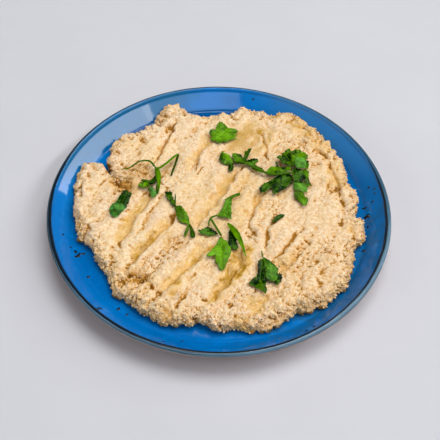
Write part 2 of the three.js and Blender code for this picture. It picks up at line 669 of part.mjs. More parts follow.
function parsleySolid({ leaves, stalks = [] }, ground) {
  const pieces = [
    ...stalks.map((path) => stalkSolid(path, ground)),
    ...leaves.map((leaf) => leafSolid(leaf, ground)),
  ];
  return largestPiece(pieces.reduce((whole, piece) => whole.add(piece)));
}

// ---------------------------------------------------------------- assembly

const dish = new THREE.Group();
const ground = makeGround();

dish.add(meshOf('plate', plateGeometry(), GLAZE));

const hummus = largestPiece(solidOf(hummusGeometry()).subtract(tearSolid()));
const hummusShape = geometryOfSolid(hummus);
dish.add(meshOf('hummus', hummusShape, HUMMUS));
ground.add(hummusShape);

for (const pool of OIL_POOLS) {
  const shape = geometryOfSolid(oilSolid(pool, hummus));
  dish.add(meshOf(pool.name, shape, OIL));
  ground.add(shape);
}

for (const piece of PARSLEY) {
  const shape = geometryOfSolid(parsleySolid(piece, ground));
  dish.add(meshOf(piece.name, shape, LEAF_GREEN));
  ground.add(shape);
}

export default dish;
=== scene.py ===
"""A plate of hummus: a blue glazed plate, a thick layer of hummus in furrows, olive oil and parsley.

Shapes are worked out in millimetres, +Z up, with the origin on the table under the middle of the plate, and
go into the meshes in metres. Every shape is a grid of points worked out as whole arrays.
"""
import math

import bpy
import numpy as np
from mathutils import Matrix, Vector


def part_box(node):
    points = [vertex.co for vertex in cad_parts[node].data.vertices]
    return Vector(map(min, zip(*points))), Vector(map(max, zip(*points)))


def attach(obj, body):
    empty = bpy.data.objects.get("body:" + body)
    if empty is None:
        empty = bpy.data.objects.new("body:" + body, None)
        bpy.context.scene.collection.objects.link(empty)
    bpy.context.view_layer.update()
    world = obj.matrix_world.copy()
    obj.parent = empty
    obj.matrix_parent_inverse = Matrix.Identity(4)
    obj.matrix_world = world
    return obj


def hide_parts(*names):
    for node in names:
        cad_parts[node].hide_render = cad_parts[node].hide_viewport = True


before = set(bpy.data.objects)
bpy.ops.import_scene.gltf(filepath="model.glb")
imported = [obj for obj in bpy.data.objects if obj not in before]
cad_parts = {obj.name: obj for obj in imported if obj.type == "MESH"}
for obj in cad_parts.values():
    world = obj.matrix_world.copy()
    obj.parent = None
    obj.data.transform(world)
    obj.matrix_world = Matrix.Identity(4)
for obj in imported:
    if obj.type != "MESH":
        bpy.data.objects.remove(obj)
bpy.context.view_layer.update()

MM = 0.001
TAU = 2 * math.pi


def solid_box(node):
    """Lowest and highest corner of a solid of the frame, in millimetres."""
    low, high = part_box(node)
    return np.array(low) / MM, np.array(high) / MM


# ---------------------------------------------------------------- camera

VIEW_ELEVATION = math.radians(51.083)
VIEW_ROLL = math.radians(1.217)
VIEW_DISTANCE = 618.56
VIEW_ANGLE = math.radians(28)
PICTURE_SIZE = 440
LIP_MIDDLE = (0, 0, 18)  # the camera is aimed at the middle of the lip's circle
LIP_MIDDLE_PIXEL = (219.27, 206.11)


def placed(right, up, back, place):
    """The matrix of a camera or light: its axes and its place as columns."""
    matrix = np.eye(4)
    matrix[:3] = np.stack([right, up, back, place], -1)
    return Matrix(matrix.tolist())


def make_camera():
    """A camera at a distance from the middle of the lip, raised by its elevation and turned by its roll."""
    back = np.array([0, -math.cos(VIEW_ELEVATION), math.sin(VIEW_ELEVATION)])
    level_right = np.array([1.0, 0, 0])
    level_up = np.cross(back, level_right)
    right = math.cos(VIEW_ROLL) * level_right + math.sin(VIEW_ROLL) * level_up
    up = math.cos(VIEW_ROLL) * level_up - math.sin(VIEW_ROLL) * level_right
    place = (np.array(LIP_MIDDLE) + VIEW_DISTANCE * back) * MM
    data = bpy.data.cameras.new("camera")
    data.sensor_fit = "HORIZONTAL"
    data.angle = VIEW_ANGLE
    data.shift_x = 0.5 - LIP_MIDDLE_PIXEL[0] / PICTURE_SIZE
    data.shift_y = LIP_MIDDLE_PIXEL[1] / PICTURE_SIZE - 0.5
    data.clip_end = 20
    camera = bpy.data.objects.new("camera", data)
    bpy.context.scene.collection.objects.link(camera)
    camera.matrix_world = placed(right, up, back, place)
    bpy.context.scene.camera = camera


make_camera()

# ---------------------------------------------------------------- numbers and noise

BITS = 0xFFFFFFFF
CELL_MIXERS = (374761393, 668265263, 1274126177)
SEED_MIXER = 974634777
FIRST_MIXER = 1103515245
SECOND_MIXER = 668265263
OCTAVE_SHARE = 0.55
BILLOW_HEIGHT = 0.6


def smooth_step(low, high, value):
    """A rise from 0 at low to 1 at high with level ends: three t squared less two t cubed."""
    t = np.clip((value - low) / (high - low), 0, 1)
    return t * t * (3 - 2 * t)


def random_cell(cell, seed):
    """A repeatable number from 0 to 1 for each lattice cell: its three counts mixed as 32-bit numbers."""
    mixed = (cell @ np.array(CELL_MIXERS) + seed * SEED_MIXER) & BITS
    mixed = ((mixed ^ (mixed >> 13)) * FIRST_MIXER) & BITS
    mixed = ((mixed ^ (mixed >> 15)) * SECOND_MIXER) & BITS
    return (mixed ^ (mixed >> 16)) / BITS


def soft_noise(points, size, seed):
    """Noise from -1 to 1: random values at the corners of cubes of that size, eased between the corners."""
    scaled = points / size
    cell = np.floor(scaled).astype(np.int64)
    t = scaled - cell
    t = t * t * (3 - 2 * t)
    total = np.zeros(points.shape[:-1])
    for corner in np.ndindex(2, 2, 2):
        share = np.where(np.array(corner) == 1, t, 1 - t)
        total += random_cell(cell + np.array(corner), seed) * np.prod(share, axis=-1)
    return 2 * total - 1


def noises(points, *layers):
    """Noises added up, each given by its strength, its size and its seed."""
    return sum(strength * soft_noise(points, size, seed) for strength, size, seed in layers)


def billows(points, size, seed, octaves):
    """Rounded lumps with sharp creases between them, about 0 to 1: the size of the noise without its sign,
    added up over octaves, each half as large and a little over half as high."""
    total = 0
    weight = 1.0
    for octave in range(octaves):
        total = total + weight * np.abs(soft_noise(points, size / 2**octave, seed + octave))
        weight *= OCTAVE_SHARE
    return total / BILLOW_HEIGHT


def torn(points, size, seed, sharp):
    """Two levels, 0 and 1, with a frayed border: noise with finer noise added, carried over a short slope."""
    edge = noises(points, (1, size, seed), (0.45, size / 3.1, seed + 1), (0.2, size / 7.3, seed + 2))
    return smooth_step(-sharp, sharp, edge)


def blurred(values, times):
    """Each cell takes the mean of itself and its eight neighbours, some times over."""
    rows, columns = values.shape
    for _ in range(times):
        padded = np.pad(values, 1, mode="edge")
        values = sum(padded[i:i + rows, j:j + columns] for i in range(3) for j in range(3)) / 9
    return values


def spread_highest(values, times):
    """Each cell takes the highest of itself and its eight neighbours, some times over."""
    rows, columns = values.shape
    for _ in range(times):
        padded = np.pad(values, 1, mode="edge")
        values = np.max([padded[i:i + rows, j:j + columns] for i in range(3) for j in range(3)], axis=0)
    return values


def flat_points(x, y):
    """Points of the plane z = 0, for noise that doesn't change with height."""
    return np.stack([x, y, np.zeros_like(x)], -1)


def unit(vectors):
    """Vectors brought to length 1."""
    return vectors / np.maximum(np.linalg.norm(vectors, axis=-1, keepdims=True), 1e-9)


def outward_of(outline):
    """Unit vectors that point out of a closed anticlockwise outline: the step from the point before to the
    point after, turned by a right angle."""
    step = np.roll(outline, -1, axis=0) - np.roll(outline, 1, axis=0)
    return unit(np.stack([step[:, 1], -step[:, 0]], -1))


def eased(values, weight, times):
    """Each value but the first and last takes the mean of its neighbours and itself, itself by a weight."""
    for _ in range(times):
        values[1:-1] = (values[:-2] + weight * values[1:-1] + values[2:]) / (weight + 2)
    return values


def chain_lengths(chain):
    """How far along a chain each of its points lies."""
    return np.concatenate([[0], np.cumsum(np.linalg.norm(np.diff(chain, axis=0), axis=1))])


def points_along(chain, lengths, at):
    """The points of a level chain at some distances along it."""
    return np.stack([np.interp(at, lengths, chain[:, k]) for k in range(2)], -1)


# ---------------------------------------------------------------- meshes


def grid_quads(rows, columns, closed=False, first=0):
    """Four corners of each cell of a grid: (i, j), (i + 1, j), (i + 1, j + 1), (i, j + 1). A closed grid also
    joins its last column to its first."""
    i, j = np.meshgrid(np.arange(rows - 1), np.arange(columns if closed else columns - 1), indexing="ij")
    after = (j + 1) % columns
    corners = [i * columns + j, (i + 1) * columns + j, (i + 1) * columns + after, i * columns + after]
    return np.stack(corners, -1).reshape(-1, 4) + first


def grid_border(rows, columns):
    """Numbers of the points round a grid: along its first row, down its last column, and back."""
    index = np.arange(rows * columns).reshape(rows, columns)
    return np.concatenate([index[0, :-1], index[:-1, -1], index[-1, :0:-1], index[:0:-1, 0]])


def tube_faces(rows, sides):
    """Quads of a tube of rings, and triangles that close its ends at two points that follow the rings."""
    count = rows * sides
    fans = [fan(count, 0, sides), fan(count + 1, count - sides, sides, reverse=True)]
    return grid_quads(rows, sides, closed=True), np.concatenate(fans)


def slab_quads(rows, columns):
    """Faces of a thin slab: a grid, its copy underneath turned over, and a strip round the edge."""
    grid = grid_quads(rows, columns)
    border = grid_border(rows, columns)
    below = rows * columns
    return np.concatenate([grid, grid[:, ::-1] + below, strip(border, border + below)[:, ::-1]])


def strip(one, other):
    """Quads between two closed rings, given by the numbers of their points."""
    return np.stack([one, other, np.roll(other, -1), np.roll(one, -1)], -1)


def fan(middle, first, count, reverse=False):
    """Triangles from a middle point to a closed ring of count points."""
    ring = first + np.arange(count)
    sides = [ring, np.roll(ring, -1)]
    return np.stack([np.full(count, middle), *(sides[::-1] if reverse else sides)], -1)


def copied(faces, count, size):
    """The faces of one shape of some size in points, for each of its copies."""
    shift = (np.arange(count) * size)[:, None, None]
    return (faces[None] + shift).reshape(-1, faces.shape[1])


def make_piece(name, points, quads, triangles=None, values=None, materials=(), face_material=None):
    """A mesh object at the origin, from points in millimetres, arrays of corners and values per point."""
    triangles = np.zeros((0, 3), int) if triangles is None else triangles
    mesh = bpy.data.meshes.new(name)
    corners = np.concatenate([quads.ravel(), triangles.ravel()]).astype(np.int32)
    sizes = np.concatenate([np.full(len(quads), 4), np.full(len(triangles), 3)])
    starts = np.concatenate([[0], np.cumsum(sizes)[:-1]]).astype(np.int32)
    mesh.vertices.add(len(points))
    mesh.vertices.foreach_set("co", (points * MM).astype(np.float32).ravel())
    mesh.loops.add(len(corners))
    mesh.loops.foreach_set("vertex_index", corners)
    mesh.polygons.add(len(sizes))
    mesh.polygons.foreach_set("loop_start", starts)
    mesh.polygons.foreach_set("use_smooth", np.ones(len(sizes), bool))
    for material in materials:
        mesh.materials.append(material)
    if face_material is not None:
        mesh.polygons.foreach_set("material_index", face_material.astype(np.int32))
    mesh.update(calc_edges=True)
    for key, value in (values or {}).items():
        layer = mesh.attributes.new(key, "FLOAT", "POINT")
        layer.data.foreach_set("value", value.astype(np.float32).ravel())
    piece = bpy.data.objects.new(name, mesh)
    bpy.context.scene.collection.objects.link(piece)
    return piece


def finish_piece(piece, slot, *nodes):
    """Lets a piece ride on the one body and stands for the named solids, which it hides; its slot is not
    used.
    """
    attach(piece, "root")
    if nodes:
        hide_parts(*nodes)


# ---------------------------------------------------------------- node trees


class Tree:
    """Short calls that add a node to a material or a node group and link its inputs."""

    def __init__(self, tree):
        """Keeps the nodes and links of one material or node group."""
        self.nodes = tree.nodes
        self.links = tree.links

    def feed(self, node, inputs):
        """Gives a node's inputs, by name or place, a number, a colour or another node's socket."""
        for key, value in inputs.items():
            if isinstance(value, bpy.types.NodeSocket):
                self.links.new(value, node.inputs[key])
            else:
                node.inputs[key].default_value = value

    def add(self, kind, inputs, **settings):
        """A new node with its settings and inputs."""
        node = self.nodes.new(kind)
        for key, value in settings.items():
            setattr(node, key, value)
        self.feed(node, inputs)
        return node

    def math(self, operation, first, second=0.0):
        """One arithmetic step."""
        return self.add("ShaderNodeMath", {0: first, 1: second}, operation=operation).outputs[0]

    def plus(self, first, second):
        """A sum."""
        return self.math("ADD", first, second)

    def minus(self, first, second):
        """A difference."""
        return self.math("SUBTRACT", first, second)

    def times(self, first, second):
        """A product."""
        return self.math("MULTIPLY", first, second)

    def mix(self, share, first, second):
        """A mix of two colours by a share; a plain colour is its red, green and blue."""
        first, second = [(*c, 1) if isinstance(c, tuple) else c for c in (first, second)]
        return self.add("ShaderNodeMix", {0: share, 6: first, 7: second}, data_type="RGBA").outputs[2]

    def ramp(self, value, low, high, out_low=0.0, out_high=1.0):
        """A value carried smoothly from one range to another."""
        inputs = {"Value": value, "From Min": low, "From Max": high, "To Min": out_low, "To Max": out_high}
        return self.add("ShaderNodeMapRange", inputs, interpolation_type="SMOOTHSTEP").outputs["Result"]

    def noise(self, vector, scale, detail=3.0, roughness=0.55, distortion=0.0):
        """Cloudy noise of a size, from 0 to 1."""
        inputs = {"Vector": vector, "Scale": scale, "Detail": detail, "Roughness": roughness}
        inputs["Distortion"] = distortion
        return self.add("ShaderNodeTexNoise", inputs).outputs["Fac"]

    def cells(self, vector, scale):
        """Distance to scattered centres."""
        return self.add("ShaderNodeTexVoronoi", {"Vector": vector, "Scale": scale}).outputs["Distance"]

    def value_of(self, name):
        """A named value of the mesh."""
        return self.add("ShaderNodeAttribute", {}, attribute_name=name).outputs["Fac"]

    def place(self, kind="Object"):
        """Object coordinates, in metres, or another kind."""
        return self.add("ShaderNodeTexCoord", {}).outputs[kind]

    def axes(self, vector):
        """The X, Y and Z of a vector."""
        return self.add("ShaderNodeSeparateXYZ", {0: vector}).outputs

    def bump(self, shader, height, strength, distance):
        """A Bump node of a depth in metres that feeds the shader's Normal."""
        node = self.add("ShaderNodeBump", {"Strength": strength, "Distance": distance, "Height": height})
        self.feed(shader, {"Normal": node.outputs["Normal"]})


def new_group(name, inputs, outputs):
    """A node group with named inputs and outputs, its inner tree, what it is given, and its end node."""
    group = bpy.data.node_groups.new(name, "ShaderNodeTree")
    for key, kind, default in inputs:
        socket = group.interface.new_socket(key, in_out="INPUT", socket_type=kind)
        if default is not None:
            socket.default_value = default
    for key, kind in outputs:
        group.interface.new_socket(key, in_out="OUTPUT", socket_type=kind)
    return group, Tree(group), group.nodes.new("NodeGroupInput").outputs, group.nodes.new("NodeGroupOutput")


def new_material(name, **settings):
    """A material with one Principled shader, whose plain numbers are set on its own sockets."""
    material = bpy.data.materials.new(name)
    material.use_nodes = True
    tree = Tree(material.node_tree)
    shader = material.node_tree.nodes["Principled BSDF"]
    for key, value in settings.items():
        shader.inputs[key.replace("_", " ")].default_value = value
    return material, tree, shader


def paste_group():
    """Colour and fine height of ground chickpeas: cream grains with brown flecks, golden under oil. Painted
    shade makes the crevices golden brown and the deepest near black, and deepens the gaps between grains and
    the right side; the tops of the grain carry a painted highlight.
    """
    inputs = [
        ("Place", "NodeSocketVector", None),
        ("Painted Shade", "NodeSocketFloat", 0.0),
        ("Oil", "NodeSocketFloat", 0.0),
        ("Rough", "NodeSocketFloat", 0.5),
        ("Pale", "NodeSocketColor", (0.88, 0.685, 0.43, 1)),
        ("Deep", "NodeSocketColor", (0.60, 0.275, 0.016, 1)),
        ("Golden", "NodeSocketColor", (0.72, 0.42, 0.06, 1)),
        ("Olive", "NodeSocketColor", (0.44, 0.225, 0.009, 1)),
    ]
    outputs = [("Color", "NodeSocketColor"), ("Height", "NodeSocketFloat")]
    group, tree, given, result = new_group("ground_chickpea", inputs, outputs)
    place = given["Place"]
    clouds = tree.noise(place, 60, 4)
    grain = tree.noise(place, 520, 3, 0.6)
    bend = tree.times(tree.minus(tree.noise(place, 700, 2), 0.5), 0.0012)
    warped = tree.add("ShaderNodeVectorMath", {0: place, 1: bend}, operation="ADD").outputs[0]
    fine = tree.cells(warped, 780)
    coarse = tree.cells(warped, 430)
    colour = tree.mix(tree.ramp(clouds, 0.35, 0.7, 0, 0.30), given["Pale"], (0.84, 0.61, 0.37))
    colour = tree.mix(tree.ramp(tree.noise(place, 36, 2), 0.42, 0.60, 0, 0.7), colour, (0.87, 0.69, 0.50))
    # Painted shade: the paste is deeper towards the right.
    to_right = tree.axes(place)["X"]
    colour = tree.mix(tree.ramp(to_right, -0.06, 0.08, 0, 0.6), colour, (0.80, 0.595, 0.36))
    # Painted highlight on the tops of the grain and painted shade in its lows, where the same grain lifts and
    # lowers the bump.
    colour = tree.mix(tree.ramp(grain, 0.46, 0.72, 0, 0.6), colour, (0.97, 0.86, 0.67))
    colour = tree.mix(tree.ramp(grain, 0.49, 0.30, 0, 0.38), colour, given["Deep"])
    # Painted shade in the gaps between the grains, where the bump is low.
    between = tree.plus(tree.ramp(fine, 0.42, 0.85, 0, 0.5), tree.ramp(coarse, 0.5, 0.9, 0, 0.28))
    between = tree.times(between, tree.ramp(given["Rough"], 0.0, 0.6, 0.65, 1.0))
    colour = tree.mix(between, colour, tree.mix(0.8, colour, given["Deep"]))
    colour = tree.mix(given["Oil"], colour, tree.mix(0.85, colour, given["Golden"]))
    colour = tree.mix(tree.ramp(given["Oil"], 0.8, 1.4), colour, given["Olive"])
    # Painted shade in the crevices: golden brown, and near black in the deepest.
    colour = tree.mix(given["Painted Shade"], colour, given["Deep"])
    colour = tree.mix(tree.ramp(given["Painted Shade"], 0.6, 1.1, 0, 0.9), colour, (0.29, 0.125, 0.008))
    flecks = tree.cells(place, 210)
    rare = tree.noise(place, 95, 1)
    fleck = tree.times(tree.ramp(flecks, 0.11, 0.06), tree.ramp(rare, 0.52, 0.6))
    colour = tree.mix(tree.times(fleck, 0.8), colour, (0.22, 0.10, 0.03))
    rounded = tree.plus(tree.times(fine, -0.7), tree.times(coarse, -0.45))
    rounded = tree.times(rounded, tree.ramp(given["Rough"], 0.0, 0.6, 0.4, 1.0))
    height = tree.plus(tree.times(grain, 0.6), rounded)
    tree.feed(result, {"Color": colour, "Height": height})
    return group


# ---------------------------------------------------------------- plate

_, plate_high = solid_box("plate")
PLATE_RADIUS = plate_high[0]
PLATE_HEIGHT = plate_high[2]
LIP_RADIUS = 2
WELL_FLOOR = 7.6
RIM_FOOT = (104.6, 8.5)
UNDERSIDE = 3.2
FOOT_OUTER = 70
FOOT_WIDTH = 5
FOOT_FLARE = 2
PLATE_SEGMENTS = 288
LIP_EDGE = (PLATE_RADIUS - 2 * LIP_RADIUS, PLATE_HEIGHT - LIP_RADIUS)
RIM_SLOPE = (LIP_EDGE[1] - RIM_FOOT[1]) / (LIP_EDGE[0] - RIM_FOOT[0])
RIM_BREAK = RIM_FOOT[0] - (RIM_FOOT[1] - WELL_FLOOR) / RIM_SLOPE
RIM_EASE = 0.7
FLOOR_STEPS = ((2, 98, 33), (99, 108, 28), (108.6, 115.6, 16))  # from, to, how many rows
RIM_UNDERSIDE = ((118.6, 15.4), (106.5, 4.0), (97.0, UNDERSIDE))
RIM_ROWS = 16
LIP_ROWS = 22
LIP_TURN = (168, -42)  # degrees at which the round of the lip starts and ends
BASE_EDGE = 84
FOOT_ROUND = 1
FOOT_ROWS = 6
WELL_ROWS = (40, 20, 2)  # radii of rows under the middle
GLAZED_LIP_ROWS = 16


def plate_surface(radius):
    """Height of the plate's upper face: the flat floor and the sloping rim, eased into each other by the
    mean of the distance past the break and its rounded size."""
    past = radius - RIM_BREAK
    return WELL_FLOOR + RIM_SLOPE * (past + np.sqrt(past * past + RIM_EASE**2)) / 2


def plate_under(x, y):
    """Height of the plate's upper face at a place."""
    return plate_surface(np.hypot(x, y))


def arc(middle, radius, start, end, steps):
    """Points of an arc in the section, between two angles in degrees."""
    angle = np.radians(np.linspace(start, end, steps))
    return np.stack([middle[0] + radius * np.cos(angle), middle[1] + radius * np.sin(angle)], -1)


def plate_profile():
    """The section from the middle of the top, out over the rim and lip and back underneath, and how many of
    its rows are glazed. The rim's underside is one bend, a quadratic curve from the lip to the base."""
    floor_r = np.concatenate([np.linspace(*steps) for steps in FLOOR_STEPS])
    top = np.stack([floor_r, plate_surface(floor_r)], -1)
    lip_middle = (PLATE_RADIUS - LIP_RADIUS, PLATE_HEIGHT - LIP_RADIUS)
    lip = arc(lip_middle, LIP_RADIUS, *LIP_TURN, LIP_ROWS)
    t = np.linspace(0, 1, RIM_ROWS)[:, None]
    start, bend, end = np.array(RIM_UNDERSIDE)
    under = (1 - t) ** 2 * start + 2 * t * (1 - t) * bend + t * t * end
    foot_inner = FOOT_OUTER - FOOT_WIDTH
    base = np.array([[BASE_EDGE, UNDERSIDE], [FOOT_OUTER + FOOT_FLARE, UNDERSIDE]])
    foot_out = arc((FOOT_OUTER - FOOT_ROUND, FOOT_ROUND), FOOT_ROUND, 0, -90, FOOT_ROWS)
    foot_in = arc((foot_inner + FOOT_ROUND, FOOT_ROUND), FOOT_ROUND, -90, -180, FOOT_ROWS)
    inside = np.array([[r, UNDERSIDE] for r in (foot_inner - FOOT_FLARE, *WELL_ROWS)])
    profile = np.concatenate([top, lip, under, base, foot_out, foot_in, inside])
    return profile, len(top) + GLAZED_LIP_ROWS


def make_plate(glaze, clay):
    """The section turned about the upright axis, with a point and a fan of triangles at each pole."""
    profile, glazed_rows = plate_profile()
    angle = TAU * np.arange(PLATE_SEGMENTS) / PLATE_SEGMENTS
    radius = profile[:, :1]
    height = np.repeat(profile[:, 1:], PLATE_SEGMENTS, axis=1)
    points = np.stack([radius * np.cos(angle), radius * np.sin(angle), height], -1).reshape(-1, 3)
    points = np.concatenate([points, [[0, 0, profile[0, 1]], [0, 0, profile[-1, 1]]]])
    quads, fans = tube_faces(len(profile), PLATE_SEGMENTS)
    cell_row = np.repeat(np.arange(len(profile) - 1), PLATE_SEGMENTS)
    end_material = np.repeat([0.0, 1.0], PLATE_SEGMENTS)
    face_material = np.concatenate([cell_row >= glazed_rows, end_material])
    return make_piece("glazed_plate", points, quads, fans, None, (glaze, clay), face_material)


def glaze_blue(tree, place, axes, radius):
    """Blue of the glaze: clouded, with a milky haze to one side, other tints round the rim, a painted
    reflection on the rim at the upper left, painted shade on the floor at the back, mottles and freckles,
    laid over each other in turn."""
    clouds = tree.noise(place, 14, 5, 0.62, 0.4)
    wisps = tree.noise(place, 38, 5, 0.62, 1.4)
    toward = tree.minus(axes["X"], tree.times(axes["Y"], 0.7))
    haze_side = tree.ramp(toward, 0.075, 0.125)
    haze = tree.times(tree.ramp(wisps, 0.38, 0.55), haze_side)
    bright_haze = tree.times(tree.ramp(wisps, 0.54, 0.70, 0, 0.7), haze_side)
    on_rim = tree.ramp(radius, 0.1035, 0.1065)
    # Where the painted reflection lies on the rim, at the upper left.
    painted_reflection_upper_left = tree.ramp(tree.minus(axes["Y"], axes["X"]), 0.122, 0.150)
    upper_right = tree.ramp(tree.plus(axes["Y"], axes["X"]), 0.130, 0.160, 0, 0.85)
    # Where the painted shade lies on the floor at the back, next to the hummus.
    painted_back_shade = tree.times(tree.ramp(axes["Y"], 0.045, 0.085), tree.ramp(radius, 0.1065, 0.1035))
    mottle = tree.ramp(tree.noise(place, 170, 3, 0.6), 0.60, 0.72, 0, 0.35)
    freckles = tree.times(tree.ramp(tree.cells(place, 170), 0.10, 0.06), tree.ramp(wisps, 0.5, 0.6))
    tints = (
        (tree.times(haze, 0.85), (0.020, 0.120, 0.26)),
        (bright_haze, (0.12, 0.24, 0.38)),
        (tree.ramp(axes["X"], 0.03, 0.10, 0, 0.65), (0.001, 0.105, 0.33)),
        # Painted reflection: a paler, greyer blue on the rim at the upper left.
        (tree.times(on_rim, painted_reflection_upper_left), (0.010, 0.150, 0.36)),
        (tree.times(on_rim, upper_right), (0.032, 0.215, 0.56)),
        # Painted shade: a darker blue on the floor at the back, next to the hummus.
        (tree.times(painted_back_shade, 0.7), (0.0, 0.045, 0.17)),
        (mottle, (0.0, 0.27, 0.72)),
        (tree.times(freckles, 0.7), (0.004, 0.010, 0.022)),
    )
    blue = tree.mix(tree.ramp(clouds, 0.35, 0.65), (0.0, 0.150, 0.50), (0.0, 0.215, 0.68))
    for share, tint in tints:
        blue = tree.mix(share, blue, tint)
    return blue


def glaze_lip(tree, blue, place, axes, radius):
    """The blue, near black on top of the lip, and a grey blue band with a dark streak down its outside; the
    band is the glaze's grey blue with a painted reflection of the bright table over it. The borders wander
    with noise and lean with X and Y."""
    wander = tree.times(tree.minus(tree.noise(place, 55, 3), 0.5), 0.0012)
    edge = tree.plus(radius, wander)
    to_lower_right = tree.times(tree.minus(axes["X"], axes["Y"]), 0.003)
    lip = tree.plus(edge, to_lower_right)
    lip = tree.minus(lip, tree.ramp(axes["Y"], 0.0, 0.10, 0, 0.0015))
    dark = tree.mix(tree.noise(place, 160, 3), (0.003, 0.008, 0.016), (0.010, 0.022, 0.036))
    colour = tree.mix(tree.ramp(lip, 0.1160, 0.1165), blue, dark)
    # Painted reflection of the bright table on the outside of the lip, over its grey blue glaze, darker
    # towards the back and at the lower left.
    steel_with_painted_reflection = tree.mix(tree.noise(place, 90, 3), (0.06, 0.145, 0.22), (0.15, 0.26, 0.36))
    steel_with_painted_reflection = tree.mix(tree.ramp(axes["Y"], -0.05, 0.04, 0, 0.8), steel_with_painted_reflection, (0.02, 0.075, 0.13))
    at_left = tree.times(tree.ramp(axes["X"], 0.03, -0.05, 0, 0.65), tree.ramp(axes["Y"], -0.085, -0.03))
    steel_with_painted_reflection = tree.mix(at_left, steel_with_painted_reflection, (0.016, 0.030, 0.040))
    to_right = tree.times(tree.math("MAXIMUM", axes["X"], -0.025), 0.0089)
    leaning = tree.plus(to_right, tree.times(axes["Y"], 0.0064))
    outer = tree.plus(edge, tree.plus(leaning, tree.ramp(axes["Y"], -0.03, -0.085, 0, 0.0007)))
    colour = tree.mix(tree.ramp(outer, 0.1181, 0.1186), colour, steel_with_painted_reflection)
    streak = tree.times(tree.ramp(outer, 0.1188, 0.1191), tree.ramp(outer, 0.1195, 0.1192))
    streak = tree.times(streak, tree.ramp(axes["X"], 0.03, -0.02, 0, 0.75))
    return tree.mix(streak, colour, dark)


def glaze_material():
    """Blue reactive glaze, glossy and gently uneven."""
    material, tree, shader = new_material("blue_glaze", IOR=1.5, Roughness=0.05, Specular_IOR_Level=0.3)
    place = tree.place()
    axes = tree.axes(place)
    square = tree.plus(tree.math("POWER", axes["X"], 2.0), tree.math("POWER", axes["Y"], 2.0))
    radius = tree.math("SQRT", square)
    blue = glaze_blue(tree, place, axes, radius)
    tree.feed(shader, {"Base Color": glaze_lip(tree, blue, place, axes, radius)})
    tree.bump(shader, tree.noise(place, 40, 2), 0.25, 0.0004)
    return material


def clay_material():
    """Bare stoneware: warm buff clay with fine dark grit and faint turning rings."""
    material, tree, shader = new_material("bare_clay", Roughness=0.82)
    place = tree.place()
    base = tree.mix(tree.noise(place, 70, 4), (0.36, 0.21, 0.16), (0.47, 0.30, 0.23))
    grit = tree.ramp(tree.cells(place, 420), 0.13, 0.07)
    base = tree.mix(tree.times(grit, 0.6), base, (0.10, 0.06, 0.045))
    tree.feed(shader, {"Base Color": base})
    tree.bump(shader, tree.noise(place, 600, 3), 0.35, 0.0003)
    return material


finish_piece(make_plate(glaze_material(), clay_material()), "glaze", "plate")

# Burnt iron specks in the glaze: middle, half length, half width and bearing in degrees
SPECKS = [
    (-107, -24, 0.9, 0.7, 0), (-101.3, -32.6, 0.9, 0.7, 0), (-97.8, -35.1, 1.6, 0.8, 120),
    (-95.7, -38, 2.0, 1.3, 60), (-94.6, -36.6, 2.2, 0.8, 30), (-91.6, -35.8, 1.0, 0.9, 0),
    (-86.7, -55.1, 1.2, 0.8, 10), (-76.6, -86.8, 1.7, 1.0, 50), (-75.4, -84.8, 2.2, 0.8, 20),
    (-64.4, -79.9, 1.3, 1.0, 0), (-58.2, -83.8, 1.1, 0.8, 30), (-22, -104.5, 1.1, 0.6, 170),
    (-33, -108, 0.9, 0.5, 10), (107.6, 24, 1.1, 0.9, 20), (111, 21, 0.9, 0.5, 80), (110.8, 17, 0.8, 0.6, 20),
    (109, 11, 1.3, 0.7, 30), (104, 8.6, 1.4, 1.1, 0), (105, 0.6, 2.2, 1.4, 10), (104.5, -9, 0.9, 0.9, 0),
    (100, -29, 1.2, 0.8, 10), (62, -95, 1.3, 0.9, 25), (57, -98, 1.2, 0.8, 30), (41, 97.5, 0.9, 0.7, 0),
    (51, 97, 1.0, 0.7, 60), (63.5, 86, 1.1, 0.7, 20), (25, 110, 0.9, 0.6, 0),
]
SPECK_SIDES = 22
SPECK_RISE = 0.05
SPECK_CROWN = 0.07
SPECK_SKIRT = 0.1


def make_specks(material):
    """Flat blots that follow the glaze: each a ring of points at the edge of an oval, pushed in and out by
    noise, and a middle point, a little over the plate, with a skirt that goes into it."""
    spots = np.array(SPECKS, float)
    turn = TAU * np.arange(SPECK_SIDES) / SPECK_SIDES
    bearing = np.radians(spots[:, 4:5])
    along = spots[:, 2:3] * np.cos(turn)
    across = spots[:, 3:4] * np.sin(turn)
    x = spots[:, :1] + along * np.cos(bearing) - across * np.sin(bearing)
    y = spots[:, 1:2] + along * np.sin(bearing) + across * np.cos(bearing)
    spread = 1 + 0.65 * soft_noise(flat_points(x, y), 0.8, 15)
    x = spots[:, :1] + (x - spots[:, :1]) * spread
    y = spots[:, 1:2] + (y - spots[:, 1:2]) * spread
    height = plate_under(x, y)
    ring = np.stack([x, y, height + SPECK_RISE], -1)
    skirt = np.stack([x, y, height - SPECK_SKIRT], -1)
    middle = np.stack([spots[:, 0], spots[:, 1], plate_under(spots[:, 0], spots[:, 1]) + SPECK_CROWN], -1)
    points = np.concatenate([ring, skirt, middle[:, None, :]], 1)
    here = np.arange(SPECK_SIDES)
    low = here + SPECK_SIDES
    floor = np.stack([np.full_like(low[2:], SPECK_SIDES), low[2:], low[1:-1]], -1)
    triangles = copied(np.concatenate([fan(2 * SPECK_SIDES, 0, SPECK_SIDES), floor]), *points.shape[:2])
    quads = copied(strip(here, low), *points.shape[:2])
    return make_piece("glaze_specks", points.reshape(-1, 3), quads, triangles, None, (material,))


def speck_material():
    """Burnt iron: near black with a rusty heart, as glossy as the glaze round it."""
    material, tree, shader = new_material("burnt_iron", Roughness=0.12)
    rust = tree.ramp(tree.noise(tree.place(), 420, 3), 0.45, 0.7)
    colour = tree.mix(rust, (0.003, 0.006, 0.012), (0.030, 0.022, 0.022))
    tree.feed(shader, {"Base Color": colour})
    return material


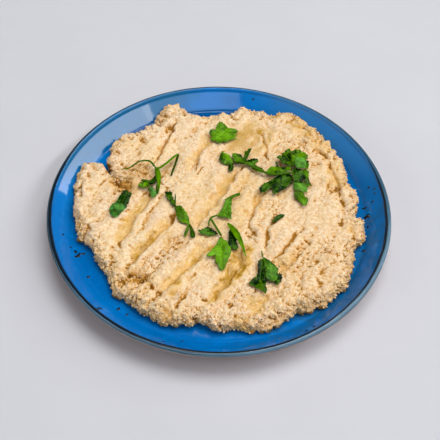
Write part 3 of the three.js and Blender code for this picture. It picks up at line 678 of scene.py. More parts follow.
finish_piece(make_specks(speck_material()), "glaze")

# ---------------------------------------------------------------- hummus: form

GAP = 0.3
CROWN_TOP = 18.4
CROWN_FALL = 1.6
CROWN_RADIUS = 100
SHOULDER = 8
SHOULDER_POWER = 2.3
EDGE_WALL = 2.3
LEAST_RISE = 1
STROKE = math.radians(60)
GROOVE_IN = (-1.8, 0.45)  # the gentle side of a groove, in half widths from its middle line
GROOVE_OUT = (0.5, 0.85)  # its steep side
GROOVE_SHARE = 0.85
LOW_BANK = 0.7
# How strongly the torn hollows and creases carry painted shade.
HOLLOW_PAINTED_SHADE = 0.26
CREASE_PAINTED_SHADE = 0.33
FADE_SHARE = 0.12
CREASE_FADE = 0.15
FADE_REST = 0.25
BERM_OFFSET = 1.9
BERM_WIDTH = 0.8
BANK_OFFSET = 1.4
BANK_WIDTH = 0.55

# Edge of the hummus: bearing in degrees and reach
EDGE = [
    (0, 95), (8, 99), (17, 97), (29, 102), (42, 104), (59, 109), (72, 100), (79, 102), (86, 95), (97, 91),
    (103, 95), (109, 107), (115, 107), (121, 97), (128, 94), (138, 100), (142, 98), (145.5, 94.5),
    (149.4, 94.5), (151.4, 98), (152.8, 104), (154.2, 108), (159, 107), (168, 105.5), (180, 102), (192, 98),
    (204, 93), (216, 92), (228, 97), (240, 96), (248, 98), (264, 92), (270, 96), (277, 95), (286, 99),
    (300, 97), (318, 103), (327, 103), (340, 98), (349, 102), (360, 95),
]

# Furrows of the spoon: path, half width at half depth, depth, height of the berms beside it
FURROWS = [
    (((-50, 20), (-53, 4), (-61, -13), (-70, -34)), 5, 3.4, 1.2),
    (((-31, -6), (-43, -26), (-61, -50)), 4, 2.8, 0.9),
    (((-8, 72), (-13, 58), (-18, 44), (-18, 30)), 3.2, 2.4, 0.9),
    (((15, 40), (4, 19), (-5, -1), (-18, -23)), 4, 3.2, 1.2),
    (((-6, -33), (-18, -47), (-31, -63), (-43, -77)), 4.5, 3.2, 1.3),
    (((31, 17), (23, 0), (20, -18), (25, -31)), 4, 2.4, 0.9),
    (((41, -8), (34, -18), (29, -36)), 2.4, 1.4, 0.8),
    (((58, -14), (47, -32), (36, -47)), 3.2, 1.9, 0.9),
    (((61, -24), (53, -41), (44, -54)), 3, 2.0, 0.6),
    (((13, -36), (12, -50), (5, -66), (-3, -80)), 4.2, 3.4, 0.8),
    (((70, 61), (79, 41), (84, 20), (88, 0)), 3.2, 1.9, 0.8),
    (((-36, 82), (-41, 62), (-48, 42)), 3, 2.8, 0.7),
    (((-100, 22), (-97, 5)), 2.2, 1.4, 0.3),
]

# Wide smooth basins and torn hollows: x, y, radius along and across the stroke, depth; a torn hollow's depth
# also sets its painted shade
BASINS = [(17, 63, 22, 15, 2.8), (26, -78, 10, 10, 1.8)]
HOLLOWS = [
    (-57, 29, 8, 9, 1.8), (-70, 18, 6, 8, 1.8), (-53, -62, 5, 7, 3.0), (-62.5, -64, 3, 4, 2.6),
    (-71, -52, 2.4, 2.4, 2.0), (-32, -32, 4, 5, 1.8), (-37, 32, 1.8, 1.8, 1.5), (-39.5, 26, 1.8, 1.8, 1.5),
    (-57, 62, 2.4, 2.4, 1.8), (-45, 84, 3.5, 3.5, 2.2), (-96, -17, 3, 3, 2.0), (-90, -22, 3, 3, 1.6),
    (83, -13, 2.2, 2.2, 1.8), (75, -38, 3, 3, 1.8), (45, -51, 5, 7, 1.3), (41, 91, 3.5, 3.5, 1.8),
    (52, 56, 3, 3, 1.3), (82, 18, 5, 5, 1.4), (58, 82, 4, 4, 1.4), (17.5, -95, 4, 4, 3.2),
    (22, -80, 2, 2, 1.2), (8.5, -81, 1.8, 1.8, 1.2), (-34, -88, 4, 5, 1.8), (-27, -75, 3, 4, 1.0),
    (-74, 11, 1.8, 1.8, 1.2), (-84, 4, 1.6, 1.6, 1.0), (-66, 12, 4, 4, 1.6), (-57, -59, 2.2, 2.6, 1.7),
    (-51, -65, 2.2, 2.8, 2.1), (-45, -69, 2.0, 2.8, 1.9), (-39, -72, 1.5, 2, 1.3), (-76, 23, 2.0, 2.4, 1.1),
    (-71, 22, 2.2, 2.8, 1.8), (-65, 21, 1.8, 2.6, 1.4), (-69, 14, 1.6, 2.2, 1.0),
]

# Narrow ragged creases: path, half width, depth; the depth also sets a crease's painted shade
CREASES = [
    (((-32, -10), (-34, -14), (-37, -19)), 1.3, 1.8),
    (((-59, -58), (-53, -60), (-48, -66), (-42, -71)), 1.8, 2.4), (((-67, -32), (-64, -39)), 0.9, 1.3),
    (((-18.5, -45), (-13.5, -45)), 1.2, 1.6), (((-20, -90), (-9, -90)), 0.9, 1.4),
    (((-19, -70), (-7, -79)), 0.9, 1.0), (((-36, 81), (-38, 74)), 1.1, 1.6),
    (((-37, 71), (-41, 60), (-43, 53), (-48, 41)), 1.2, 1.8), (((-68, 52), (-65, 57)), 0.8, 1.1),
    (((-80, 19), (-76, 21), (-63, 16)), 1.1, 2.0), (((-12, 36), (-14.5, 26)), 0.8, 1.1),
    (((-38, 33), (-42, 18)), 0.9, 1.4), (((9.5, -62), (1.5, -73.5), (-1, -79)), 0.9, 1.4),
    (((56, -17), (48, -31), (43, -39), (40, -43)), 0.7, 0.9), (((58.5, -26), (61.5, -33)), 0.8, 1.2),
    (((40, -10), (34.5, -17), (31, -27), (29, -37)), 0.7, 0.7), (((20, -26), (26, -31.5)), 0.8, 1.2),
    (((92, -22), (90, -16)), 1.0, 1.4), (((61, -42), (69, -49)), 0.9, 1.4),
    (((28, 12.5), (25.5, 7), (23, 0)), 0.9, 1.8), (((79.5, 30), (78, 14)), 0.8, 1.5),
    (((25, 78), (29.5, 71), (31, 63), (34, 53), (35, 42)), 0.8, 1.3), (((86, 10), (87.5, 1)), 0.8, 1.2),
    (((62, 71), (69, 64)), 1.0, 1.3), (((73, 56), (78, 51)), 1.0, 1.3), (((44, -44), (49, -57)), 1.0, 1.2),
    (((-58, -34), (-56, -40)), 0.8, 1.0), (((5, 90), (14, 86)), 0.8, 1.0),
]

# Smooth swells between the furrows: x, y, radius along and across the stroke, height
SWELLS = [
    (-27, 12, 34, 11, 1.5), (6, 22, 26, 6, 0.9), (41, -22, 20, 5, 1.2), (-94, 20, 18, 8, 1.4),
    (-83, -22, 20, 8, 0.9), (-25, 82, 14, 8, 1.2), (52, 74, 20, 9, 1.0), (-50, -38, 22, 6, 0.9),
    (-12, -64, 16, 6, 0.8), (40, -33, 13, 6, 1.2), (-88, -4, 9, 9, 0.6), (72, -6, 17, 11, 0.5),
    (76, 24, 14, 7, 0.4),
]

# Crumbly patches: x, y, radius along and across the stroke
CRUMBLY_PATCHES = [
    (66, -42, 28, 16), (91, -10, 12, 8), (64, 72, 26, 9), (82, 18, 14, 8), (-52, -62, 14, 16),
    (-68, 14, 12, 12), (-72, 62, 20, 10), (-40, -82, 14, 16), (24, -84, 12, 16), (-88, -28, 14, 10),
    (-45, 84, 10, 8), (0, -88, 14, 12), (60, -70, 14, 10), (-41, -50, 24, 6), (-30, -36, 12, 7),
]

# Amber, oily crumbs: x, y, radius along and across the stroke, strength
AMBER_CRUMBS = [
    (57, 88, 7, 6, 0.65), (60, 79, 7, 5, 0.65), (66, 73, 6, 5, 0.6), (72, 66, 6, 5, 0.5), (79, 59, 6, 5, 0.4),
    (81, 38, 6, 5, 0.5), (85, 26, 7, 7, 0.6), (90, 22, 5, 5, 0.5), (47, 96, 5, 4, 0.5), (-68, 17, 7, 9, 0.5),
    (-52, -62, 8, 9, 0.2),
]

# Torn gap in the upper left edge: its bearing, how near it goes to the middle, its half widths, how far
# bearings are drawn to it and over which span, and how far it is swung sideways, over which span, from and
# to which radius, and back again past it; in degrees and millimetres
TEAR = {
    "bearing": 154.4, "root": 84, "root_half": 0.9, "mouth_half": 1.7, "draw": 0.75, "draw_span": 10,
    "swing": 5.4, "swing_span": 14, "swing_from": 50, "swing_to": 83, "swing_back": 0.55, "back_over": 11,
}

# Olive oil standing in furrows: name, path down the middle, half width searched, how golden its bed is
OIL_POOLS = [
    ("oil_left", ((-53, 4), (-58, -7), (-66, -25)), 8, 0.8),
    ("oil_lower_left", ((-38, -17), (-46, -30), (-55, -42)), 7, 1),
    ("oil_upper", ((-11, 64), (-14, 55), (-18, 44)), 7, 0.7),
    ("oil_middle", ((7, 24), (2, 14), (-6, -2), (-13, -14)), 7, 0.75),
    ("oil_lower", ((-13, -41), (-22, -53), (-34, -67)), 8, 1),
    ("oil_front", ((12, -44), (10, -55), (4, -68), (0, -75)), 10, 1),
    ("oil_back", ((16, 53), (17, 60), (19, 67)), 15, 0.45),
]

# Thin oil that only wets the hummus: x, y, radius along and across the stroke, strength
OIL_STAINS = [
    (16, 60, 30, 18, 0.42), (12, -50, 19, 9, 1.5), (2, -71, 14, 3.2, 1.25), (0, -2, 44, 24, 0.42),
    (25, -79, 9, 8, 0.85), (58, 84, 8, 6, 0.5), (67, 72, 9, 6, 0.5), (76, 62, 9, 6, 0.4),
    (84, 28, 11, 7, 0.45), (41, 91, 6, 6, 0.8), (52, 56, 5, 5, 0.5), (-2, 12, 28, 5, 0.5),
    (-70, 17, 9, 12, 0.22), (-52, -63, 8, 10, 0.2), (-47, -32, 24, 4, 0.9), (-49, -34, 17, 3.0, 1.6),
    (-25, -61, 22, 3.4, 0.9), (-26, -62, 15, 2.6, 1.3), (-62, -17, 20, 4, 0.6), (5, -72, 12, 5, 0.7),
    (44, -50, 13, 7, 0.6), (-36, 36, 14, 4, 0.45), (-16, 50, 22, 5, 0.45), (-34, -31, 7, 7, 0.5),
    (-44, -33, 22, 5, 0.4), (-34, -89, 6, 6, 0.5), (91, -19, 5, 5, 0.6), (17.5, -95, 6, 6, 0.7),
    (26, 6, 10, 5, 0.5), (-42, 56, 18, 4, 0.45), (47, 10, 8, 5, 0.3), (31, 58, 22, 3, 0.85),
]

# Films of oil on the smooth walls of furrows: path, half width
OIL_FILMS = [
    (((-4, -34), (-10.5, -45), (-18, -51), (-28, -58.5)), 1.7),
    (((-57, -2), (-64.5, -13)), 2.4),
]


def nearest_on_path(path, x, y):
    """Distance from each point to a chain of straight stretches, positive on its left as it runs, and how far
    along the chain that is, from 0 to 1."""
    distance = np.full(np.shape(x), np.inf)
    side = np.ones(np.shape(x))
    along = np.zeros(np.shape(x))
    stretches = len(path) - 1
    for i in range(stretches):
        ax, ay = path[i]
        dx = path[i + 1][0] - ax
        dy = path[i + 1][1] - ay
        t = np.clip(((x - ax) * dx + (y - ay) * dy) / (dx * dx + dy * dy), 0, 1)
        here = np.hypot(x - ax - t * dx, y - ay - t * dy)
        turn = np.where(dx * (y - ay) - dy * (x - ax) >= 0, 1.0, -1.0)
        side = np.where(here < distance, turn, side)
        along = np.where(here < distance, (i + t) / stretches, along)
        distance = np.minimum(distance, here)
    return distance * side, along


def stroke_axes(x, y):
    """Distances along and across the stroke of the spoon: the place turned by the stroke's bearing."""
    return x * math.cos(STROKE) + y * math.sin(STROKE), y * math.cos(STROKE) - x * math.sin(STROKE)


def round_bump(spot, x, y):
    """A bell of unit height: e to the minus squared distance, stretched along the stroke."""
    along, across = stroke_axes(x - spot[0], y - spot[1])
    return np.exp(-((along / spot[2]) ** 2 + (across / spot[3]) ** 2))


def furrow_relief(furrow, x, y):
    """A groove drawn by a tilted spoon: it goes down slowly from its upper left side to its deepest line,
    and up again by a steep ragged wall to a higher, lumpy bank; both ends fade."""
    path, width, depth, berm = furrow
    distance, along = nearest_on_path(path, x, y)
    across = distance / width
    inner = smooth_step(0, FADE_SHARE, along) * smooth_step(0, FADE_SHARE, 1 - along)
    groove = smooth_step(*GROOVE_IN, across) * (1 - smooth_step(*GROOVE_OUT, across))
    flat = flat_points(x, y)
    broken = 1 + 0.5 * soft_noise(flat, 3.1, 95)
    depth = depth * (0.8 + 0.4 * soft_noise(flat, 9, 89))
    bank = berm * np.exp(-(((across - BANK_OFFSET) / BANK_WIDTH) ** 2)) * broken
    low_bank = LOW_BANK * berm * np.exp(-(((across + BERM_OFFSET) / BERM_WIDTH) ** 2))
    return (bank + low_bank - GROOVE_SHARE * depth * groove) * (FADE_REST + (1 - FADE_REST) * inner)


def crease_valley(crease, x, y):
    """Share of a torn crease's depth, 0 to 1: a bell across it, whose width and depth wander along it."""
    path, width, _ = crease
    distance, along = nearest_on_path(path, x, y)
    flat = flat_points(x, y)
    width = width * (1 + 0.6 * soft_noise(flat, 3.0, 98))
    valley = np.exp(-((distance / width) ** 2)) * smooth_step(0, CREASE_FADE, along)
    valley = valley * smooth_step(0, CREASE_FADE, 1 - along)
    return valley * (0.85 + 0.5 * soft_noise(flat, 4.5, 99))


def torn_painted_shade(x, y):
    """How much painted shade the torn places get, 0 to 1: the sum of the hollows and the creases, broken up
    by noise.
    """
    x, y = pushed_about(x, y)
    shade = np.zeros(np.shape(x))
    for hollow in HOLLOWS:
        shade = shade + HOLLOW_PAINTED_SHADE * hollow[4] * round_bump(hollow, x, y)
    for crease in CREASES:
        shade = shade + CREASE_PAINTED_SHADE * crease[2] * crease_valley(crease, x, y)
    return np.clip(shade, 0, 1) * (0.7 + 0.5 * soft_noise(flat_points(x, y), 2.4, 90))


def amber_shade(x, y):
    """How amber the oily crumbs are, 0 to 1: the strongest of the patches' bells, broken up by noise."""
    x, y = pushed_about(x, y)
    amber = np.zeros(np.shape(x))
    for patch in AMBER_CRUMBS:
        amber = np.maximum(amber, patch[4] * round_bump(patch, x, y))
    return np.clip(1.3 * amber * (0.9 + 0.7 * soft_noise(flat_points(x, y), 2.0, 88)), 0, 0.95)


def waves(x, y, inset):
    """Long ripples along the stroke, from a sine across it, and lumps, from two crossed sines, that grow
    towards the rough edge."""
    along, across = stroke_axes(x, y)
    ripple = 0.45 * np.sin(across / 2.3 + 1.1 * np.sin(along / 9) + 0.6)
    lumps = np.sin(x / 1.9 + 1.7 * np.sin(y / 6.1)) * np.sin(y / 2.1 + 1.9 * np.sin(x / 5.3))
    return ripple + (0.15 + 0.6 * smooth_step(20, 4, inset)) * lumps


def edge_reach(degrees):
    """Reach of the hummus at a bearing, eased between the two nearest edge points."""
    at, reach = np.array(EDGE, float).T
    degrees = degrees % 360
    slot = np.clip(np.searchsorted(at, degrees, side="right") - 1, 0, len(at) - 2)
    t = smooth_step(0, 1, (degrees - at[slot]) / (at[slot + 1] - at[slot]))
    return reach[slot] + (reach[slot + 1] - reach[slot]) * t


def pushed_about(x, y):
    """Places moved a little by three sizes of noise, which frays the edges of the grooves and hollows."""
    flat = flat_points(x, y)
    shift_x = noises(flat, (2.2, 12, 91), (1.2, 4.5, 92), (0.45, 1.7, 96))
    shift_y = noises(flat, (2.2, 12, 93), (1.2, 4.5, 94), (0.45, 1.7, 97))
    return x + shift_x, y + shift_y


def top_height(x, y, inset, shoulder):
    """Height of the top: a low crown with its waves, furrows, hollows and swells, brought down to the foot
    over the shoulder by a rounded corner of power SHOULDER_POWER."""
    radius = np.hypot(x, y)
    foot = plate_surface(radius) + GAP + EDGE_WALL
    x, y = pushed_about(x, y)
    top = CROWN_TOP - CROWN_FALL * (radius / CROWN_RADIUS) ** 4 + waves(x, y, inset)
    for furrow in FURROWS:
        top = top + furrow_relief(furrow, x, y)
    for hollow in BASINS + HOLLOWS:
        top = top - hollow[4] * round_bump(hollow, x, y)
    for crease in CREASES:
        top = top - crease[2] * crease_valley(crease, x, y)
    for swell in SWELLS:
        top = top + swell[4] * round_bump(swell, x, y)
    t = np.clip(inset / shoulder, 0, 1)
    rounding = (1 - (1 - t) ** SHOULDER_POWER) ** (1 / SHOULDER_POWER)
    return foot + np.maximum(top - foot, LEAST_RISE) * rounding


HUMMUS_RINGS = 147
SHOULDER_RINGS = 24
FINE_BAND = 9.0  # the outer rings are drawn together over this distance from the edge
FINE_POWER = 2.2
MEAN_REACH = 98
BATCH = 2000  # points measured at a time
WALL_ROWS = 4
WALL_UNDERCUT = 2.3
# Painted shade on the wall, from its top to its deeper foot on the plate.
WALL_PAINTED_SHADE = (0.7, 1.2)
WALL_CRUMBLY = 0.8
WALL_GRAIN = 0.6
# Painted shade: in dips of three widths, in the torn places, and along the edge of the top.
DIPS = ((0.8, 3, 0.05, 0.4), (0.75, 10, 0.1, 0.9), (0.45, 40, 0.2, 2.0))  # strength, width, least, span
TORN_PAINTED_SHADE = 1.35
EDGE_PAINTED_SHADE = 0.38
CONTACT = 0.12  # the foot of the wall is this far over the plate
LEAST_OVER_PLATE = 0.9
TEAR_SHARPER = 5.5  # the shoulder is narrower beside the tear by this


def concentric_grid(rings):
    """A square grid seen as square rings: each point's ring, from 0 to rings, and its bearing, which grows
    evenly round the ring by an eighth of a turn from a corner to the middle of a side."""
    count = np.arange(-rings, rings + 1)
    i, j = np.meshgrid(count, count, indexing="ij")
    wide = np.abs(i) >= np.abs(j)
    by_i = np.pi / 4 * j / np.where(i == 0, 1, i)
    by_j = np.pi / 2 - np.pi / 4 * i / np.where(j == 0, 1, j)
    bearing = np.where(wide, by_i, by_j) + np.where(np.where(wide, i, j) < 0, np.pi, 0)
    return np.maximum(np.abs(i), np.abs(j)), np.degrees(bearing) % 360


def ring_share(ring):
    """Share of the reach at a ring: even steps, then rings drawn together near the edge by a power."""
    from_edge = HUMMUS_RINGS - ring
    even_rings = HUMMUS_RINGS - SHOULDER_RINGS
    inner = FINE_BAND + (MEAN_REACH - FINE_BAND) * (from_edge - SHOULDER_RINGS) / even_rings
    outer = FINE_BAND * (np.minimum(from_edge, SHOULDER_RINGS) / SHOULDER_RINGS) ** FINE_POWER
    return 1 - np.where(from_edge > SHOULDER_RINGS, inner, outer) / MEAN_REACH


def ragged(degrees, reach):
    """Fine raggedness of the edge: three sizes of noise, times a wide one that makes some places rougher."""
    angle = np.radians(degrees)
    place = flat_points(reach * np.cos(angle), reach * np.sin(angle))
    rough = 0.65 + 0.35 * soft_noise(place, 23, 11)
    return rough * noises(place, (1.1, 7.0, 12), (0.9, 3.2, 13), (0.35, 1.6, 14))


def hummus_plan(ring, degrees):
    """Places seen from above, with the distance left to the reach and a mask round the tear. Bearings are
    drawn together at the tear, the reach dips there between two steep walls, and the dip is swung sideways
    with the radius, so that the tear slants."""
    off = (degrees - TEAR["bearing"] + 180) % 360 - 180
    off = off * (1 - TEAR["draw"] * np.exp(-((off / TEAR["draw_span"]) ** 2)))
    swung = np.exp(-((off / TEAR["swing_span"]) ** 2))
    swung_edge = TEAR["bearing"] + off - TEAR["swing"] * swung
    reach = edge_reach(swung_edge)
    reach = reach + ragged(swung_edge, reach)
    share = np.clip((TEAR["mouth_half"] - np.abs(off)) / (TEAR["mouth_half"] - TEAR["root_half"]), 0, 1)
    dip = (reach - TEAR["root"]) * share * (0.94 + 0.06 * np.sin(off * 9))
    part = ring_share(ring)
    radius = part * reach - part**3 * dip
    swing = TEAR["swing"] * smooth_step(TEAR["swing_from"], TEAR["swing_to"], radius)
    swing = swing - TEAR["swing_back"] * np.clip(radius - TEAR["swing_to"], 0, TEAR["back_over"])
    angle = np.radians(TEAR["bearing"] + off + swing * swung)
    near_tear = np.exp(-((off / 7) ** 2)) * smooth_step(70, 84, radius)
    return radius * np.cos(angle), radius * np.sin(angle), (1 - part) * reach, near_tear


def outline_distance(x, y, edge_x, edge_y):
    """Least distance from each point to the closed outline: the nearest of its straight stretches, worked out
    for a few thousand points at a time."""
    ax = edge_x.astype(np.float32)
    ay = edge_y.astype(np.float32)
    dx = np.roll(ax, -1) - ax
    dy = np.roll(ay, -1) - ay
    length = dx * dx + dy * dy
    nearest = np.empty(len(x), np.float32)
    for start in range(0, len(x), BATCH):
        px = x[start:start + BATCH, None].astype(np.float32) - ax
        py = y[start:start + BATCH, None].astype(np.float32) - ay
        t = np.clip((px * dx + py * dy) / length, 0, 1)
        nearest[start:start + BATCH] = np.sqrt(np.min((px - t * dx) ** 2 + (py - t * dy) ** 2, axis=1))
    return nearest


def grid_normals(points):
    """Unit normals of a grid: the cross product of its steps along the two directions."""
    return unit(np.cross(np.gradient(points, axis=0), np.gradient(points, axis=1)))


def standing_oil(x, y):
    """Share of oil round the pools' paths, 0 to 1, falling off over their half width."""
    wet = np.zeros(np.shape(x))
    for _, path, reach, strength in OIL_POOLS:
        distance, _ = nearest_on_path(path, x, y)
        wet = np.maximum(wet, strength * smooth_step(reach * 0.85, reach * 0.3, np.abs(distance)))
    return wet


def oil_film(x, y):
    """Share of a smooth film of oil, 0 to 1, on the walls of furrows."""
    wet = np.zeros(np.shape(x))
    for path, half in OIL_FILMS:
        distance, _ = nearest_on_path(path, x, y)
        wet = np.maximum(wet, smooth_step(half * 1.2, half * 0.6, np.abs(distance)))
    return wet


def wetness(x, y):
    """Share of oil on the hummus, 0 to 1: round the pools and in the stains, each even over its middle."""
    x, y = pushed_about(x, y)
    wet = np.maximum(standing_oil(x, y), oil_film(x, y))
    flat = flat_points(x, y)
    fray = noises(flat, (0.3, 5.0, 23), (0.2, 1.9, 24))
    for stain in OIL_STAINS:
        along, across = stroke_axes(x - stain[0], y - stain[1])
        away = np.sqrt((along / stain[2]) ** 2 + (across / stain[3]) ** 2) + fray
        wet = np.maximum(wet, stain[4] * smooth_step(1.1, 0.6, away))
    return wet * (0.85 + 0.3 * soft_noise(flat, 6, 22))


def crumbliness(points, inset):
    """How crumbly the hummus is, 0 to 1: more near the edge, in torn hollows and in random patches, less on
    the smeared swells and under oil."""
    x = points[..., 0]
    y = points[..., 1]
    patches = soft_noise(flat_points(x, y), 17, 21)
    crumbly = 0.14 + 0.26 * patches + 0.72 * smooth_step(9, 2, inset)
    for hollow in HOLLOWS:
        crumbly = crumbly + 0.7 * round_bump(hollow, x, y)
    for patch in CRUMBLY_PATCHES:
        crumbly = crumbly + 0.3 * round_bump(patch, x, y)
    for swell in SWELLS:
        crumbly = crumbly * (1 - 0.6 * round_bump(swell, x, y))
    return np.clip(crumbly, 0.04, 1) * (1 - 0.3 * standing_oil(x, y)) * (1 - 0.9 * oil_film(x, y))


def crumb_relief(points, crumbly):
    """Relief of the grainy paste, in millimetres: torn skins of three sizes drawn out along the stroke, lumps
    and small clumps that grow with how crumbly it is, a fine grain everywhere, and pits."""
    along, across = stroke_axes(points[..., 0], points[..., 1])
    drawn = np.stack([along / 1.7, across, points[..., 2]], -1)
    skins = 0.55 * torn(drawn, 11, 31, 0.07) + 0.45 * torn(drawn, 5, 34, 0.10)
    skins = skins + 0.30 * torn(points, 2.6, 37, 0.14)
    lumps = billows(drawn, 7.5, 41, 2) - 0.5
    shaken = points + 0.9 * soft_noise(points, 2.1, 61)[..., None]
    clumps = billows(shaken, 2.4, 51, 2) - 0.5
    fine = billows(points, 1.5, 71, 1) - 0.4
    pits = smooth_step(0.46, 0.70, soft_noise(shaken, 2.3, 81) + 0.35 * soft_noise(points, 1.3, 82))
    relief = (0.5 + 0.6 * crumbly) * (skins - 0.65) + 1.9 * crumbly * lumps + 1.05 * crumbly * clumps
    return relief + (0.18 + 0.38 * crumbly) * fine - (0.05 + 0.45 * crumbly) * pits


def dips(height, times, least, span):
    """How much lower a place is than the mean round it, past the least depth that counts: 0 to 1."""
    return np.clip((blurred(height, times) - height - least) / span, 0, 1)


def wall_rows(rim):
    """The undercut wall: rows of points that go down and inwards from the rim by a power of their share of
    the way, with the same grains pushed out of them, less and less towards the plate."""
    outward = outward_of(rim)
    rows = []
    for share in np.arange(1, WALL_ROWS + 1) / WALL_ROWS:
        row = rim.copy()
        row[:, :2] -= outward * (WALL_UNDERCUT * share**1.5)
        push = crumb_relief(row, np.full(len(row), WALL_CRUMBLY))
        row[:, :2] += outward * (WALL_GRAIN * (1 - share) * push)[:, None]
        row[:, 2] = rim[:, 2] + (plate_under(row[:, 0], row[:, 1]) + CONTACT - rim[:, 2]) * share
        rows.append(row)
    return np.concatenate(rows)


def measured_inset(x, y, inset, near_tear, border):
    """Distance of each point from the outline: measured near the edge and round the tear, and elsewhere the
    distance left to the reach."""
    near = np.flatnonzero((inset.ravel() < 2 * SHOULDER) | (near_tear.ravel() > 0.02))
    measured = inset.ravel().copy()
    flat_x = x.ravel()
    flat_y = y.ravel()
    measured[near] = outline_distance(flat_x[near], flat_y[near], flat_x[border], flat_y[border])
    measured[border] = 0
    return measured.reshape(x.shape)


def hummus_top(x, y, inset, near_tear):
    """Points of the top, how crumbly they are, and its normals: the height of each place, with grains pushed
    out along the normals, kept over the plate."""
    points = np.stack([x, y, top_height(x, y, inset, SHOULDER - TEAR_SHARPER * near_tear)], -1)
    crumbly = crumbliness(points, inset)
    relief = crumb_relief(points, crumbly) * (1 - 0.6 * near_tear)
    normals = grid_normals(points)
    points = points + normals * relief[..., None]
    floor = plate_under(points[..., 0], points[..., 1])
    points[..., 2] = np.maximum(points[..., 2], floor + LEAST_OVER_PLATE)
    return points, crumbly, normals


def painted_shade_and_oil(points, inset):
    """Two values of each point of the top. Painted shade, for the crevices and the edge: the sum of dips of
    three widths, the torn places and the edge, less under oil. Oil: the wetness, less on grains that stand
    up, or the amber where that is more."""
    x = points[..., 0]
    y = points[..., 1]
    height = points[..., 2]
    # Painted shade: in the dips, the torn places and along the edge, less where oil lies.
    painted_crevice_shade = sum(strength * dips(height, *dip) for strength, *dip in DIPS)
    painted_crevice_shade = painted_crevice_shade + TORN_PAINTED_SHADE * torn_painted_shade(x, y) + EDGE_PAINTED_SHADE * smooth_step(3.5, 0, inset)
    painted_crevice_shade = np.clip(painted_crevice_shade, 0, 1.2)
    raised = np.clip((height - blurred(height, 6)) / 0.6, 0, 1)
    wet = wetness(x, y) * (1 - 0.5 * raised)
    painted_crevice_shade = painted_crevice_shade * (1 - 0.8 * np.clip(1.4 * wet, 0, 1))
    return painted_crevice_shade.ravel(), np.maximum(wet, amber_shade(x, y)).ravel()


def make_hummus(material):
    """The layer as one closed mesh: a concentric grid over the top, an undercut wall down to the plate, and a
    fan underneath."""
    ring, degrees = concentric_grid(HUMMUS_RINGS)
    x, y, inset, near_tear = hummus_plan(ring, degrees)
    border = np.flatnonzero(ring.ravel() == HUMMUS_RINGS)
    border = border[np.argsort(degrees.ravel()[border])]
    inset = measured_inset(x, y, inset, near_tear, border)
    points, crumbly, normals = hummus_top(x, y, inset, near_tear)
    painted_crevice_shade, wet = painted_shade_and_oil(points, inset)
    top = points.reshape(-1, 3)
    wall = wall_rows(top[border])
    count = len(border)
    first = len(top)
    last = first + len(wall) - count
    everything = np.concatenate([top, wall, [[0, 0, WELL_FLOOR + CONTACT]]])
    quads = np.concatenate([
        grid_quads(*x.shape),
        strip(border, first + np.arange(count)),
        grid_quads(WALL_ROWS, count, closed=True, first=first),
    ])
    fan_below = fan(len(everything) - 1, last, count, reverse=True)
    # Painted shade on the wall, deeper towards the plate.
    wall_painted_shade = np.repeat(np.linspace(*WALL_PAINTED_SHADE, WALL_ROWS), count)
    values = {
        "painted_crevice_shade": np.concatenate([painted_crevice_shade, wall_painted_shade, [0.0]]),
        "oil": np.concatenate([wet, np.zeros(len(wall) + 1)]),
        "rough": np.concatenate([crumbly.ravel(), np.full(len(wall) + 1, WALL_CRUMBLY)]),
    }
    piece = make_piece("hummus_layer", everything, quads, fan_below, values, (material,))
    return piece, points, inset, crumbly, normals


def hummus_material(paste):
    """Soft matt paste with light scattered under its skin, wet and golden where oil lies."""
    material, tree, shader = new_material("hummus_paste", IOR=1.4, Specular_IOR_Level=0.28)
    tree.feed(shader, {"Subsurface Weight": 0.16, "Subsurface Radius": (1.0, 0.6, 0.3)})
    tree.feed(shader, {"Subsurface Scale": 0.0014, "Coat Roughness": 0.12})
    wet = tree.value_of("oil")
    inputs = {"Place": tree.place(), "Oil": wet, "Painted Shade": tree.value_of("painted_crevice_shade")}
    inputs["Rough"] = tree.value_of("rough")
    ground_paste = tree.add("ShaderNodeGroup", inputs, node_tree=paste).outputs
    roughness = tree.ramp(wet, 0.1, 0.9, 0.62, 0.34)
    coat = tree.ramp(wet, 0.25, 0.95, 0.0, 0.55)
    tree.feed(shader, {"Base Color": ground_paste["Color"], "Roughness": roughness, "Coat Weight": coat})
    tree.bump(shader, ground_paste["Height"], 0.6, 0.0007)
    return material


hummus_paste = hummus_material(paste_group())
hummus, hummus_points, hummus_inset, hummus_crumbly, hummus_normals = make_hummus(hummus_paste)
finish_piece(hummus, "hummus", "hummus")

# ---------------------------------------------------------------- what lies on the hummus

MAP_STEP = 0.5
MAP_HALF = 118
MAP_SIZE = int(2 * MAP_HALF / MAP_STEP) + 1


def height_map(points):
    """A square map of the highest point in each cell; cells with none take the plate's or a neighbour's."""
    cells = np.rint((points[..., :2].reshape(-1, 2) + MAP_HALF) / MAP_STEP).astype(int)
    heights = np.full((MAP_SIZE, MAP_SIZE), -1.0)
    np.maximum.at(heights, (cells[:, 0], cells[:, 1]), points[..., 2].ravel())
    filled = spread_highest(heights, 1)
    heights = np.where(heights < 0, filled, heights)
    line = np.arange(MAP_SIZE) * MAP_STEP - MAP_HALF
    bare = plate_under(*np.meshgrid(line, line, indexing="ij"))
    return np.maximum(heights, np.minimum(bare, PLATE_HEIGHT))


def sample(heights, x, y):
    """Height of a map at any place, eased between its four nearest cells."""
    u = np.clip((x + MAP_HALF) / MAP_STEP, 0, MAP_SIZE - 1.001)
    v = np.clip((y + MAP_HALF) / MAP_STEP, 0, MAP_SIZE - 1.001)
    i = u.astype(int)
    j = v.astype(int)
    s = u - i
    t = v - j
    low = heights[i, j] * (1 - t) + heights[i, j + 1] * t
    high = heights[i + 1, j] * (1 - t) + heights[i + 1, j + 1] * t
    return low * (1 - s) + high * s


ground = height_map(hummus_points)
calm_ground = blurred(ground, 3)

# ---------------------------------------------------------------- olive oil

